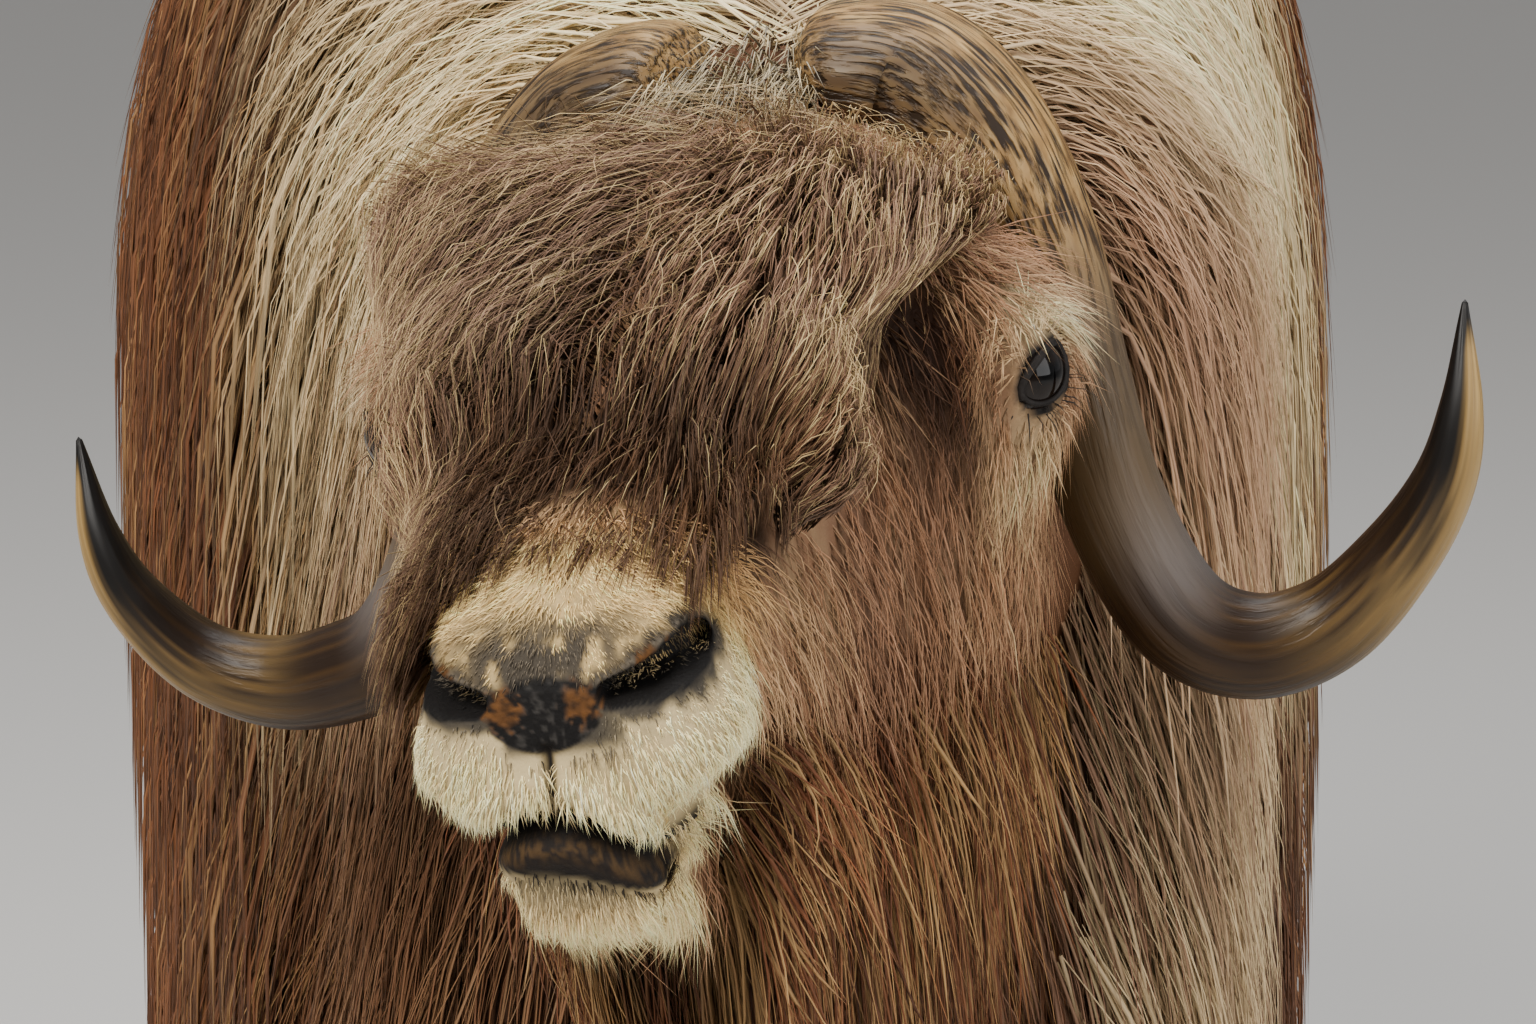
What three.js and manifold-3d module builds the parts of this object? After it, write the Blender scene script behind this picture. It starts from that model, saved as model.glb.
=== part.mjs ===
// A standing adult muskox at life size, in millimetres, +Z up, facing -Y with its head turned
// a little to its right. The origin is on the floor under the middle of its bounding box.
// The long coat is made of flat, tapered locks that hang in overlapping tiers from a core.
import * as THREE from "three";
import { mergeVertices } from "three/addons/utils/BufferGeometryUtils.js";
import Module from "manifold-3d";

const wasm = await Module();
wasm.setup();

// Driving sizes of the body
const SHOULDER_HEIGHT = 1312;
const RUMP_BASE = 480;
const NECK_BASE = -600;
const RUMP_REACH = 300;
const THROAT_REACH = 90;
const GAP = 0.3;

// Where the body is parted into nodes: planes across its length, given where they cross the
// widest line of the coat, and how far they lean back, as the hair does, for each mm down
const SHOULDER_FRONT = -560;
const FLANK_FRONT = -150;
const RUMP_FRONT = 430;
const LEAN = 0.09;
const PART_HEIGHT = 815;
const BODY_MIDDLE = 700;
const LEG_TOP = 435;
const CORONET = 58;

// The coat along the body: where (y), its height, half width, height of the widest line, the
// lowest flesh, and the hem where the hair ends
const BODY = [
  { y: -800, top: 1100, half: 182, wide: 845, belly: 620, hem: 470 },
  { y: -690, top: 1165, half: 222, wide: 835, belly: 575, hem: 430 },
  { y: -560, top: 1250, half: 264, wide: 820, belly: 515, hem: 385 },
  { y: -350, top: SHOULDER_HEIGHT, half: 305, wide: 815, belly: 475, hem: 325 },
  { y: -180, top: 1284, half: 328, wide: 815, belly: 468, hem: 300 },
  { y: 50, top: 1224, half: 350, wide: 820, belly: 460, hem: 288 },
  { y: 250, top: 1204, half: 358, wide: 820, belly: 462, hem: 285 },
  { y: 400, top: 1194, half: 350, wide: 815, belly: 480, hem: 290 },
  { y: 480, top: 1184, half: 338, wide: 810, belly: 500, hem: 298 },
];
const ROUNDNESS = 2.35;

// The core lies this deep under the coat's outline, and the locks grow out of it
const CORE_INSET = 50;
const LOCK_SUNK = 30;
const LOCK_WIDTH = 140;
const LOCK_THICK = 27;
const LOCK_PITCH = 132;
const LIE = 45;
const LENGTHS = [0.94, 1.04];
const WIDTHS = [0.94, 1.06];
// Every other lock stands this much further out at its tip
const LOCK_LIFT = 9;
// How far the first and last lock of a tier keep from the ends of their node, in lock widths
const MARGIN = { even: 0.46, odd: 0.34, rump: 0.42 };
const PLACE_JITTER = 5;
// Tiers of locks from the spine (0) over the widest line (1) to the hem (2). The first lies
// nearer to the outline, as no other covers it.
const TIERS = [
  { root: 0.03, tip: 0.62, near: 0.4 },
  { root: 0.33, tip: 0.98 },
  { root: 0.66, tip: 1.34 },
  { root: 0.98, tip: 1.68 },
  { root: 1.26, tip: 2 },
];
// How deep a lock lies under the outline from its root to its tip
const LOCK_RISE = [
  { s: 0, inset: CORE_INSET + LOCK_SUNK },
  { s: 0.22, inset: 52 },
  { s: 0.5, inset: 26 },
  { s: 0.78, inset: 12 },
  { s: 1, inset: 0 },
];
// Width and thickness of a lock at each of its sections
const LOCK_SHAPE = [
  { s: 0.22, wide: 0.84, thick: 1 },
  { s: 0.5, wide: 1, thick: 0.85 },
  { s: 0.78, wide: 0.74, thick: 0.6 },
];

// Locks of the chest, under the neck, from one side round the front to the other
const CHEST_TIERS = [{ root: 0.86, tip: 1.56 }, { root: 1.24, tip: 2 }];
const CHEST = { count: 4, from: 0.12, to: 0.88 };

// The neck from the shoulders to the skull, in plan and height, turning with the head
const NECK = [
  { x: 0, y: -560, turn: 0, half: 205, top: 1180, bottom: 520 },
  { x: 6, y: -660, turn: -6, half: 185, top: 1128, bottom: 590 },
  { x: 15, y: -740, turn: -12, half: 160, top: 1082, bottom: 660 },
  { x: 5, y: -800, turn: -14.8, half: 138, top: 1062, bottom: 740 },
];

// The head's own frame: X to its left, Y from nose to poll along the mouth line, Z to the brow
const HEAD_AT = new THREE.Vector3(0, -820, 985);
const HEAD_YAW = -14.8;
const HEAD_PITCH = 6.5;
const HEAD_ROLL = -7.6;
const HEAD_BACK = 78;
const HEAD = [
  { y: -405, top: -64, bottom: -130, half: 34, jaw: 0.95, square: 2.6 },
  { y: -397, top: -51, bottom: -158, half: 50, jaw: 0.8, square: 2.6 },
  { y: -383, top: -42, bottom: -174, half: 59, jaw: 0.75, square: 2.6 },
  { y: -350, top: -30, bottom: -186, half: 66, jaw: 0.7, square: 2.5 },
  { y: -310, top: -15, bottom: -190, half: 68, jaw: 0.68, square: 2.4 },
  { y: -260, top: 0, bottom: -192, half: 70, jaw: 0.7, square: 2.3 },
  { y: -200, top: 20, bottom: -200, half: 88, jaw: 0.7, square: 2.3 },
  { y: -150, top: 38, bottom: -212, half: 111, jaw: 0.68, square: 2.3 },
  { y: -90, top: 52, bottom: -222, half: 124, jaw: 0.7, square: 2.3 },
  { y: -30, top: 58, bottom: -225, half: 122, jaw: 0.74, square: 2.3 },
  { y: 30, top: 56, bottom: -215, half: 112, jaw: 0.8, square: 2.3 },
  { y: 120, top: 46, bottom: -195, half: 100, jaw: 0.9, square: 2.3 },
];
// The woolly pad on the forehead, from its ledge over the muzzle back to the horns
const WOOL = [
  { y: -292, rise: 15, half: 72, low: -52 },
  { y: -276, rise: 34, half: 90, low: -60 },
  { y: -220, rise: 46, half: 106, low: -60 },
  { y: -150, rise: 44, half: 116, low: -10 },
  { y: -80, rise: 28, half: 118, low: 0 },
  { y: -20, rise: 12, half: 104, low: 10 },
];
const WOOL_CORE = 0.45;
const WOOL_TIERS = [
  { root: -36, tip: -168 },
  { root: -104, tip: -236 },
  { root: -168, tip: -300 },
];
const WOOL_LOCKS = { count: 5, width: 66, thick: 17, from: 14, to: 166, lift: 7, wave: 6 };
const WOOL_SUNK = 56;
const WOOL_OUT = 2;

// Hair of the cheeks and beard, on each side: where it is rooted round the head, from 0 at the
// side to -90 under the jaw, how far along the head, and how far it hangs
const BEARD = [
  { angle: -8, at: [-232, -176, 34], hang: 190, width: 70 },
  { angle: -40, at: [-258, -190, -122, -54, 14], hang: 235, width: 84 },
  { angle: -74, at: [-236, -150, -64], hang: 270, width: 88 },
];
const BEARD_OUT = 24;
const BEARD_LOCKS = { sunk: 26, lift: 8, thick: 18, back: 14 };
// Down the beard lock: how far out from the skin, and how far down of all it hangs
const BEARD_CURVE = [{ out: 1, down: 0.1 }, { out: 1, down: 0.5 }, { out: 0.6, down: 1 }];

// The mane: the neck's hair, this far out from the neck, from its crest to the hem of the ruff
const MANE_OUT = 46;
const MANE_HEM = 450;
const MANE_AT = [0.2, 0.6, 1];
const MANE_WIDTH = 84;
const MANE_WIDEST = 0.42;
const MANE_LOCKS = { stagger: 0.14, lie: 0.18, lift: 8, thick: 23 };
const MANE_TIERS = [
  { root: 0.04, tip: 0.74 },
  { root: 0.4, tip: 1.12 },
  { root: 0.8, tip: 1.54 },
  { root: 1.2, tip: 2 },
];

// Face
const EYE_AT = new THREE.Vector3(138.5, -141, -37.5);
const EYE_AXIS = new THREE.Vector3(0.845, -0.53, 0.06).normalize();
const EYE_RADIUS = 19;
const LID = 4.5;
const BROW = { at: [97, -119, -32], radii: [46, 54, 48] };
const EYE_OPENING = { wide: 13, high: 9.5 };
// The opening widens from inside the eyeball outwards
const OPENING_RINGS = [
  { out: 8, grow: 0.95 },
  { out: EYE_RADIUS, grow: 1.02 },
  { out: EYE_RADIUS + 12, grow: 1.35 },
];
const NOSTRIL = { inner: [20, -401, -72], outer: [56, -362, -64], radius: 8.5, long: 1.7, in: 4 };
const MOUTH = { front: -117, drop: 25, corner: 58, back: -338, gape: 5, nose: -440, end: 76 };
const MOUTH_STEP = 19;

// Horn centre lines from tip to boss in the head's frame, for the left side, each with the
// radius across the horn and the radius through it. The two horns differ a little, as real ones
// do: hook is how far the left one hangs below this line, and SIDE_HOOK the share for each side.
const HORN = [
  { at: [284, -77, -82], wide: 8.5, thick: 8.5 },
  { at: [274, -78, -111], wide: 12.5, thick: 12.5 },
  { at: [252, -72, -141], wide: 16, thick: 16 },
  { at: [222, -70, -157], wide: 19, thick: 19, hook: 10 },
  { at: [190, -75, -156], wide: 21.5, thick: 21.5, hook: 17 },
  { at: [163, -78, -143], wide: 22, thick: 22, hook: 13 },
  { at: [143, -68, -108], wide: 24, thick: 23, hook: 4 },
  { at: [133, -47, -62], wide: 28, thick: 24 },
  { at: [121, -23, -14], wide: 33, thick: 25 },
  { at: [101, -3, 28], wide: 42, thick: 25 },
  { at: [70, 12, 56], wide: 51, thick: 25 },
  { at: [40, 10, 66], wide: 52, thick: 22 },
];
const SIDE_HOOK = { left: 1, right: -0.25 };
const HORN_TIP = [289, -67, -44];
const HORN_END = [20, 8, 66];

// Ear: root, tip, and the side its cup opens to
const EAR = { root: [112, 52, 4], tip: [168, 126, -34], open: [0.66, -0.48, -0.3], half: 28 };
const EAR_SHAPE = [
  { t: 0, half: 0.55, deep: 15 },
  { t: 0.2, half: 0.85, deep: 15 },
  { t: 0.5, half: 1, deep: 12 },
  { t: 0.8, half: 0.72, deep: 8 },
];
const EAR_CUP = { wide: 0.72, out: 0.9, deep: 1.1, end: 0.93, endOut: 8 };

// Locks of the pale wool between the horns: root, bend and tip of the middle one, and how much
// each of these shifts for the next one to the side
const CREST = {
  root: [0, 28, 40],
  bend: [0, 10, 106],
  tip: [0, -62, 98],
  shift: [[6, -8, 0], [10, 0, 0], [16, -12, 0]],
  width: 36,
  thick: 15,
};

const LEG_SPREAD = 135;
const FRONT_LEG_Y = -430;
const HIND_LEG_Y = 545;
const FRONT_ROWS = [
  { z: 660, y: 0, wide: 84, deep: 110 },
  { z: 540, y: 0, wide: 74, deep: 95 },
  { z: LEG_TOP, y: 4, wide: 60, deep: 76 },
  { z: 360, y: 6, wide: 50, deep: 60 },
  { z: 300, y: 2, wide: 46, deep: 52 },
  { z: 240, y: 2, wide: 40, deep: 43 },
  { z: 170, y: 2, wide: 35, deep: 38 },
  { z: 104, y: -2, wide: 43, deep: 47 },
  { z: CORONET, y: -13, wide: 52, deep: 56 },
];
const HIND_ROWS = [
  { z: 660, y: -60, wide: 92, deep: 125 },
  { z: 540, y: -30, wide: 78, deep: 108 },
  { z: LEG_TOP, y: 10, wide: 58, deep: 78 },
  { z: 370, y: 40, wide: 47, deep: 62 },
  { z: 320, y: 50, wide: 43, deep: 58 },
  { z: 260, y: 42, wide: 38, deep: 46 },
  { z: 170, y: 24, wide: 34, deep: 38 },
  { z: 104, y: 9, wide: 43, deep: 47 },
  { z: CORONET, y: -6, wide: 52, deep: 56 },
];

const TAIL = [
  { y: 690, z: 1040, wide: 40, thick: 30 },
  { y: 745, z: 1010, wide: 40, thick: 26 },
  { y: 780, z: 950, wide: 40, thick: 20 },
  { y: 792, z: 880, wide: 30, thick: 14 },
];
const TAIL_TIP = { y: 794, z: 815 };

// Two claws make a hoof, each flat on the inside and broad and rounded at the toe
const HOOF_FORWARD = 8;
const CLAW = { spread: 31, outer: 34, inner: 26, long: 66, narrowing: 0.22, sides: 10 };
const CLAW_ROWS = [
  { z: 0, scale: 0.95, back: 0 },
  { z: 6, scale: 1, back: 0 },
  { z: CORONET, scale: 0.8, back: 13 },
];
const DEWCLAW = { spread: 24, back: 40, z: 84, radii: [12, 12, 16] };
const HOOF_BRIDGE = { back: 16, z: 40, radii: [30, 36, 26] };

const degrees = THREE.MathUtils.degToRad;
const mix = THREE.MathUtils.lerp;
const vec = (x, y, z) => new THREE.Vector3(x, y, z);
const headFrame = new THREE.Matrix4()
  .makeRotationFromEuler(
    new THREE.Euler(degrees(HEAD_PITCH), degrees(HEAD_ROLL), degrees(HEAD_YAW), "ZXY"),
  )
  .setPosition(HEAD_AT);
const UP = vec(0, 0, 1);
const BACK = vec(0, 1, 0);
const LEFT = vec(1, 0, 0);

// Small helpers

let seed = 7;
function random(low = 0, high = 1) {
  seed = (seed * 1664525 + 1013904223) % 4294967296;
  return low + ((high - low) * seed) / 4294967296;
}

// One column of a table, smooth between its rows
function along(table, key, name, at) {
  const last = table.length - 1;
  if (at <= table[0][key]) return table[0][name];
  if (at >= table[last][key]) return table[last][name];
  const i = table.findIndex((row) => row[key] > at) - 1;
  const slope = (j) => {
    const a = table[Math.max(0, j - 1)];
    const b = table[Math.min(last, j + 1)];
    return (b[name] - a[name]) / (b[key] - a[key]);
  };
  const a = table[i];
  const b = table[i + 1];
  const span = b[key] - a[key];
  const t = (at - a[key]) / span;
  const h = t * t * (3 - 2 * t);
  const bend = span * t * (1 - t);
  return mix(a[name], b[name], h) + bend * ((1 - t) * slope(i) - t * slope(i + 1));
}

// Signed power, which makes an ellipse squarer or rounder
const power = (v, p) => Math.sign(v) * Math.abs(v) ** p;

// Solids from three.js geometry

function solid(geometry) {
  const bare = geometry.clone();
  for (const name of Object.keys(bare.attributes)) {
    if (name !== "position") bare.deleteAttribute(name);
  }
  const merged = mergeVertices(bare, 1e-3);
  const { array } = merged.index;
  const faces = [];
  for (let i = 0; i < array.length; i += 3) {
    const [a, b, c] = [array[i], array[i + 1], array[i + 2]];
    if (a !== b && b !== c && c !== a) faces.push(a, b, c);
  }
  return new wasm.Manifold(
    new wasm.Mesh({
      numProp: 3,
      vertProperties: new Float32Array(merged.attributes.position.array),
      triVerts: new Uint32Array(faces),
    }),
  );
}

// A closed skin over rings of equal length, capped by a fan at each end. A ring whose two halves
// lie on one line closes by itself and needs no cap.
const SHUT = "shut";
function loft(rings, firstTip, lastTip) {
  const count = rings[0].length;
  const middle = (ring) =>
    ring.reduce((sum, p) => sum.add(p), vec(0, 0, 0)).multiplyScalar(1 / count);
  const points = rings.flat();
  const faces = [];
  for (let j = 0; j < count; j++) {
    const k = (j + 1) % count;
    for (let i = 0; i + 1 < rings.length; i++) {
      const a = i * count;
      faces.push(a + j, a + k, a + count + k, a + j, a + count + k, a + count + j);
    }
  }
  if (firstTip !== SHUT) {
    const first = points.push(firstTip ?? middle(rings[0])) - 1;
    for (let j = 0; j < count; j++) faces.push(first, (j + 1) % count, j);
  }
  if (lastTip !== SHUT) {
    const end = points.push(lastTip ?? middle(rings.at(-1))) - 1;
    const z = (rings.length - 1) * count;
    for (let j = 0; j < count; j++) faces.push(end, z + j, z + ((j + 1) % count));
  }
  const geometry = new THREE.BufferGeometry().setFromPoints(points);
  geometry.setIndex(faces);
  const made = solid(geometry);
  if (made.volume() > 0) return made;
  geometry.setIndex(faces.reverse());
  return solid(geometry);
}

// A squared ellipse round a point, across one direction and up another
function oval(centre, across, up, wide, high, count, square = 2) {
  return Array.from({ length: count }, (_, j) => {
    const a = (2 * Math.PI * (j + 0.5)) / count;
    return centre
      .clone()
      .addScaledVector(across, wide * power(Math.cos(a), 2 / square))
      .addScaledVector(up, high * power(Math.sin(a), 2 / square));
  });
}

function ellipsoid(centre, radii, detail = 14) {
  const geometry = new THREE.SphereGeometry(1, detail, Math.round(detail * 0.7));
  geometry.scale(radii.x, radii.y, radii.z).translate(centre.x, centre.y, centre.z);
  return solid(geometry);
}

// Everything on the side of a plane that its normal points to
function halfSpace(normal, point) {
  const size = 8000;
  const geometry = new THREE.BoxGeometry(size, size, size).translate(0, 0, size / 2);
  const turn = new THREE.Quaternion().setFromUnitVectors(UP, normal.clone().normalize());
  geometry.applyQuaternion(turn).translate(point.x, point.y, point.z);
  return solid(geometry);
}

// The two sides of a plane, half the gap away from it
function sides(normal, point) {
  const n = normal.clone().normalize();
  const off = n.clone().multiplyScalar(GAP / 2);
  const front = halfSpace(n, point.clone().add(off));
  const back = halfSpace(n.clone().negate(), point.clone().sub(off));
  return { front, back };
}

const joined = (solids) => wasm.Manifold.union(solids);
const common = (...solids) => wasm.Manifold.intersection(solids);

// A node keeps its largest closed surface
function largest(made) {
  const bodies = made.decompose();
  return bodies.reduce((best, b) => (b.volume() > best.volume() ? b : best));
}

const inWorld = (p) => p.clone().applyMatrix4(headFrame);
const headSolid = (made) => made.transform(headFrame.toArray());

// The body

// The body's coat as a surface. A place is where a lock hangs along the back, and heading its
// direction in plan. u runs from the spine, 0, over the widest line, 1, to the hem, 2.
function coatPoint(place, u, inset) {
  const { y, heading } = place;
  const row = (name) => along(BODY, "y", name, y);
  const reach = Math.sin(heading) > 0 ? RUMP_REACH : THROAT_REACH;
  const x = (row("half") - inset) * Math.cos(heading);
  const fore = (reach - inset) * Math.sin(heading);
  const angle = (Math.min(u, 1) * Math.PI) / 2;
  const out = Math.sin(angle) ** (2 / ROUNDNESS);
  const up = Math.cos(angle) ** (2 / ROUNDNESS);
  const rise = row("top") - inset - row("wide");
  const drop = Math.max(0, u - 1) * (row("wide") - row("hem"));
  const flare = 1 - 0.05 * Math.max(0, u - 1);
  return vec(x * out * flare, y + fore * out * flare, row("wide") + rise * up - drop);
}

// The flesh below the widest line closes under the belly
function bellyPoint(place, v, inset) {
  const at = coatPoint(place, 1, inset);
  const middle = vec(0, place.y, 0);
  const angle = (v * Math.PI) / 2;
  const belly = along(BODY, "y", "belly", place.y);
  const out = Math.cos(angle) ** (2 / ROUNDNESS);
  const down = Math.sin(angle) ** (2 / ROUNDNESS);
  return vec(mix(middle.x, at.x, out), mix(middle.y, at.y, out), mix(at.z, belly, down));
}

function bodyRing(perSide, perEnd, point) {
  const places = [];
  const spread = (i) => mix(NECK_BASE, RUMP_BASE, i / perSide);
  for (let i = 0; i < perSide; i++) places.push({ y: spread(i), heading: 0 });
  for (let i = 0; i < perEnd; i++) places.push({ y: RUMP_BASE, heading: (Math.PI * i) / perEnd });
  for (let i = 0; i < perSide; i++) places.push({ y: spread(perSide - i), heading: Math.PI });
  for (let i = 0; i < perEnd; i++) {
    places.push({ y: NECK_BASE, heading: Math.PI * (1 + i / perEnd) });
  }
  return places.map(point);
}

function bodyCore() {
  const rings = [];
  for (const u of [0, 0.2, 0.4, 0.6, 0.8, 1]) {
    rings.push(bodyRing(6, 6, (place) => coatPoint(place, u, CORE_INSET)));
  }
  for (const v of [0.35, 0.7, 1]) {
    rings.push(bodyRing(6, 6, (place) => bellyPoint(place, v, CORE_INSET)));
  }
  return loft(rings, SHUT, SHUT);
}

function neckCore() {
  const rings = NECK.map(({ x, y, turn, half, top, bottom }) => {
    const across = vec(Math.cos(degrees(turn)), Math.sin(degrees(turn)), 0);
    return oval(vec(x, y, (top + bottom) / 2), across, UP, half, (top - bottom) / 2, 16, 2.3);
  });
  return loft(rings);
}

// Locks

// A flat lock along a line from its sunk root, 0, to its pointed tip, 1, wide along side, flat
// inside and ridged on the side that face points to.
function lock(line, side, face, width, thick) {
  const rings = LOCK_SHAPE.map((shape) => {
    const at = line(shape.s);
    const run = line(shape.s + 0.04).sub(line(Math.max(0, shape.s - 0.04))).normalize();
    const across = side.clone().addScaledVector(run, -side.dot(run)).normalize();
    const out = new THREE.Vector3().crossVectors(run, across);
    if (out.dot(face) < 0) out.negate();
    const w = (shape.wide * width) / 2;
    const t = (shape.thick * thick) / 2;
    return [
      at.clone().addScaledVector(across, w).addScaledVector(out, -t),
      at.clone().addScaledVector(out, t),
      at.clone().addScaledVector(across, -w).addScaledVector(out, -t),
    ];
  });
  return loft(rings, line(0), line(1));
}

// The body's lock at a place, lying back along the flank as it hangs
function coatLock(place, tier, lift) {
  const far = Math.sin(place.heading);
  const back = LIE * (1 - Math.abs(far));
  const length = random(...LENGTHS);
  const line = (s) => {
    const u = mix(tier.root, tier.tip, s * length);
    const at = { y: place.y + back * (u - 1), heading: place.heading };
    const deep = along(LOCK_RISE, "s", "inset", s);
    const inset = s > 0.1 ? deep * (tier.near ?? 1) : deep;
    return coatPoint(at, Math.min(u, 2), inset - lift * s);
  };
  const reach = far > 0 ? RUMP_REACH : THROAT_REACH;
  const half = along(BODY, "y", "half", place.y);
  const side = vec(-half * far, reach * Math.cos(place.heading), 0).normalize();
  const face = line(0.5).sub(vec(0, place.y, BODY_MIDDLE));
  return lock(line, side, face, LOCK_WIDTH * random(...WIDTHS), LOCK_THICK);
}

// Locks of one length of the back, side by side in staggered tiers
function sideLocks(from, to, mirror) {
  const heading = mirror ? Math.PI : 0;
  const made = [];
  TIERS.forEach((tier, row) => {
    const count = Math.round((to - from) / LOCK_PITCH) + (row % 2);
    const margin = LOCK_WIDTH * (row % 2 ? MARGIN.odd : MARGIN.even);
    for (let i = 0; i < count; i++) {
      const jitter = random(-PLACE_JITTER, PLACE_JITTER);
      const y = mix(from + margin, to - margin, i / (count - 1)) + jitter;
      made.push(coatLock({ y, heading }, tier, (i % 2) * LOCK_LIFT));
    }
  });
  return made;
}

// Locks round the rump from the flank to the middle
function rumpLocks(mirror) {
  const made = [];
  TIERS.forEach((tier, row) => {
    const u = Math.min(1, mix(tier.root, tier.tip, 0.7));
    const out = Math.sin((u * Math.PI) / 2);
    const straight = RUMP_BASE - RUMP_FRONT;
    const arc = (Math.PI / 2) * out * RUMP_REACH * 1.06;
    const margin = LOCK_WIDTH * MARGIN.rump;
    const count = Math.max(2, Math.round((straight + arc) / LOCK_PITCH));
    for (let i = 0; i < count; i++) {
      const way = mix(margin, straight + arc - margin, i / (count - 1));
      const y = Math.min(RUMP_BASE, RUMP_FRONT + way);
      const turn = (Math.max(0, way - straight) / arc) * (Math.PI / 2);
      const heading = mirror ? Math.PI - turn : turn;
      made.push(coatLock({ y, heading }, tier, (i % 2) * LOCK_LIFT));
    }
  });
  return made;
}

// The chest under the neck
function chestLocks() {
  const made = [];
  CHEST_TIERS.forEach((tier, row) => {
    const count = CHEST.count + (row % 2);
    for (let i = 0; i < count; i++) {
      const heading = -Math.PI * mix(CHEST.from, CHEST.to, i / (count - 1));
      made.push(coatLock({ y: NECK_BASE, heading }, tier, (i % 2) * LOCK_LIFT));
    }
  });
  return made;
}

// The neck's outline where its hair ends, u as on the body, t from the shoulders to the skull
function manePoint(t, u, side, inset) {
  const rows = NECK.map((row, i) => ({ ...row, t: i / (NECK.length - 1) }));
  const row = (name) => along(rows, "t", name, t);
  const turn = degrees(row("turn"));
  const half = row("half") + MANE_OUT - inset;
  const wide = mix(row("top"), row("bottom"), MANE_WIDEST);
  const rise = row("top") + MANE_OUT - inset - wide;
  const angle = (Math.min(u, 1) * Math.PI) / 2;
  const out = side * half * Math.sin(angle) ** (2 / ROUNDNESS);
  const drop = Math.max(0, u - 1) * (wide - MANE_HEM);
  const z = wide + rise * Math.cos(angle) ** (2 / ROUNDNESS) - drop;
  return vec(row("x") + out * Math.cos(turn), row("y") + out * Math.sin(turn), z);
}

function maneLocks(side) {
  const made = [];
  MANE_TIERS.forEach((tier, row) => {
    MANE_AT.forEach((place, i) => {
      const t = place - (row % 2) * MANE_LOCKS.stagger;
      const lift = (i % 2) * MANE_LOCKS.lift;
      const length = random(...LENGTHS);
      const line = (s) => {
        const u = Math.min(2, mix(tier.root, tier.tip, s * length));
        const inset = along(LOCK_RISE, "s", "inset", s) - lift * s;
        return manePoint(t - MANE_LOCKS.lie * (u - 1), u, side, inset);
      };
      const face = line(0.5).sub(vec(0, line(0.5).y, BODY_MIDDLE));
      made.push(lock(line, BACK, face, MANE_WIDTH, MANE_LOCKS.thick));
    });
  });
  return made;
}

// Legs and hooves

function legLoft(rows, x, y) {
  const rings = rows.map((row) =>
    oval(vec(x, y + row.y, row.z), LEFT, BACK, row.wide, row.deep, 10, 2.2),
  );
  return loft(rings);
}

function dewclaws(x, y) {
  const { spread, back, z, radii } = DEWCLAW;
  return joined([-spread, spread].map((dx) => ellipsoid(vec(x + dx, y + back, z), vec(...radii), 6)));
}

function claw(x, y, side) {
  const { spread, outer, inner, long, narrowing, sides: count } = CLAW;
  const rings = CLAW_ROWS.map(({ z, scale, back }) =>
    Array.from({ length: count }, (_, j) => {
      const a = (2 * Math.PI * (j + 0.5)) / count;
      const toe = Math.max(0, -Math.sin(a));
      const half = side * Math.cos(a) > 0 ? outer : inner;
      const dx = half * power(Math.cos(a), 0.8) * (1 - narrowing * toe) * scale;
      const dy = long * power(Math.sin(a), 0.85) * scale;
      return vec(x + side * spread + dx, y + dy + back, z);
    }),
  );
  return loft(rings);
}

function hoof(x, y) {
  const { back, z, radii } = HOOF_BRIDGE;
  const bridge = ellipsoid(vec(x, y + back, z), vec(...radii), 8);
  const all = joined([claw(x, y, -1), claw(x, y, 1), bridge]);
  const above = halfSpace(UP, vec(0, 0, 0));
  const below = halfSpace(vec(0, 0, -1), vec(0, 0, CORONET - GAP));
  return common(all, above, below);
}

// Tail, hung from the rump between its two halves
function tail(grow) {
  const rings = TAIL.map((row, i) => {
    const next = TAIL[i + 1] ?? TAIL_TIP;
    const run = vec(0, next.y - row.y, next.z - row.z).normalize();
    const up = new THREE.Vector3().crossVectors(LEFT, run);
    return oval(vec(0, row.y, row.z), LEFT, up, row.wide + grow, row.thick + grow, 10, 2.2);
  });
  const tip = vec(0, TAIL_TIP.y, TAIL_TIP.z - 3 * grow);
  return loft(rings, vec(0, TAIL[0].y - grow, TAIL[0].z + grow), tip);
}

// The head, made in its own frame

function headFlesh() {
  const count = 18;
  const rings = HEAD.map(({ y, top, bottom, half, jaw, square }) =>
    Array.from({ length: count }, (_, j) => {
      const a = (2 * Math.PI * (j + 0.5)) / count;
      const low = (1 - Math.sin(a)) / 2;
      const x = half * power(Math.cos(a), 2 / square) * mix(1, jaw, low);
      const z = (top + bottom) / 2 + ((top - bottom) / 2) * power(Math.sin(a), 2 / square);
      return vec(x, y, z);
    }),
  );
  return loft(rings, vec(0, HEAD[0].y - 3, -92));
}

// A point on the flesh of the head, its angle measured up from the left side
function headPoint(y, angle, grow = 0) {
  const row = (name) => along(HEAD, "y", name, y);
  const a = degrees(angle);
  const square = 2 / row("square");
  const low = (1 - Math.sin(a)) / 2;
  const x = (row("half") + grow) * power(Math.cos(a), square) * mix(1, row("jaw"), low);
  const middle = (row("top") + row("bottom")) / 2;
  const high = (row("top") - row("bottom")) / 2 + grow;
  return vec(x, y, middle + high * power(Math.sin(a), square));
}

// Hair of the forehead lies forward over the pad and ends in a ledge above the muzzle
function woolPoint(y, angle, inset) {
  const at = Math.max(WOOL[0].y, y);
  const row = (name) => along(WOOL, "y", name, at);
  const top = along(HEAD, "y", "top", at) + row("rise") - inset;
  const bottom = row("low") - 20;
  const a = degrees(angle);
  const x = (row("half") - inset * 0.5) * power(Math.cos(a), 2 / 2.6);
  const z = (top + bottom) / 2 + ((top - bottom) / 2) * power(Math.sin(a), 2 / 2.6);
  return vec(x, y, z);
}

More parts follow.
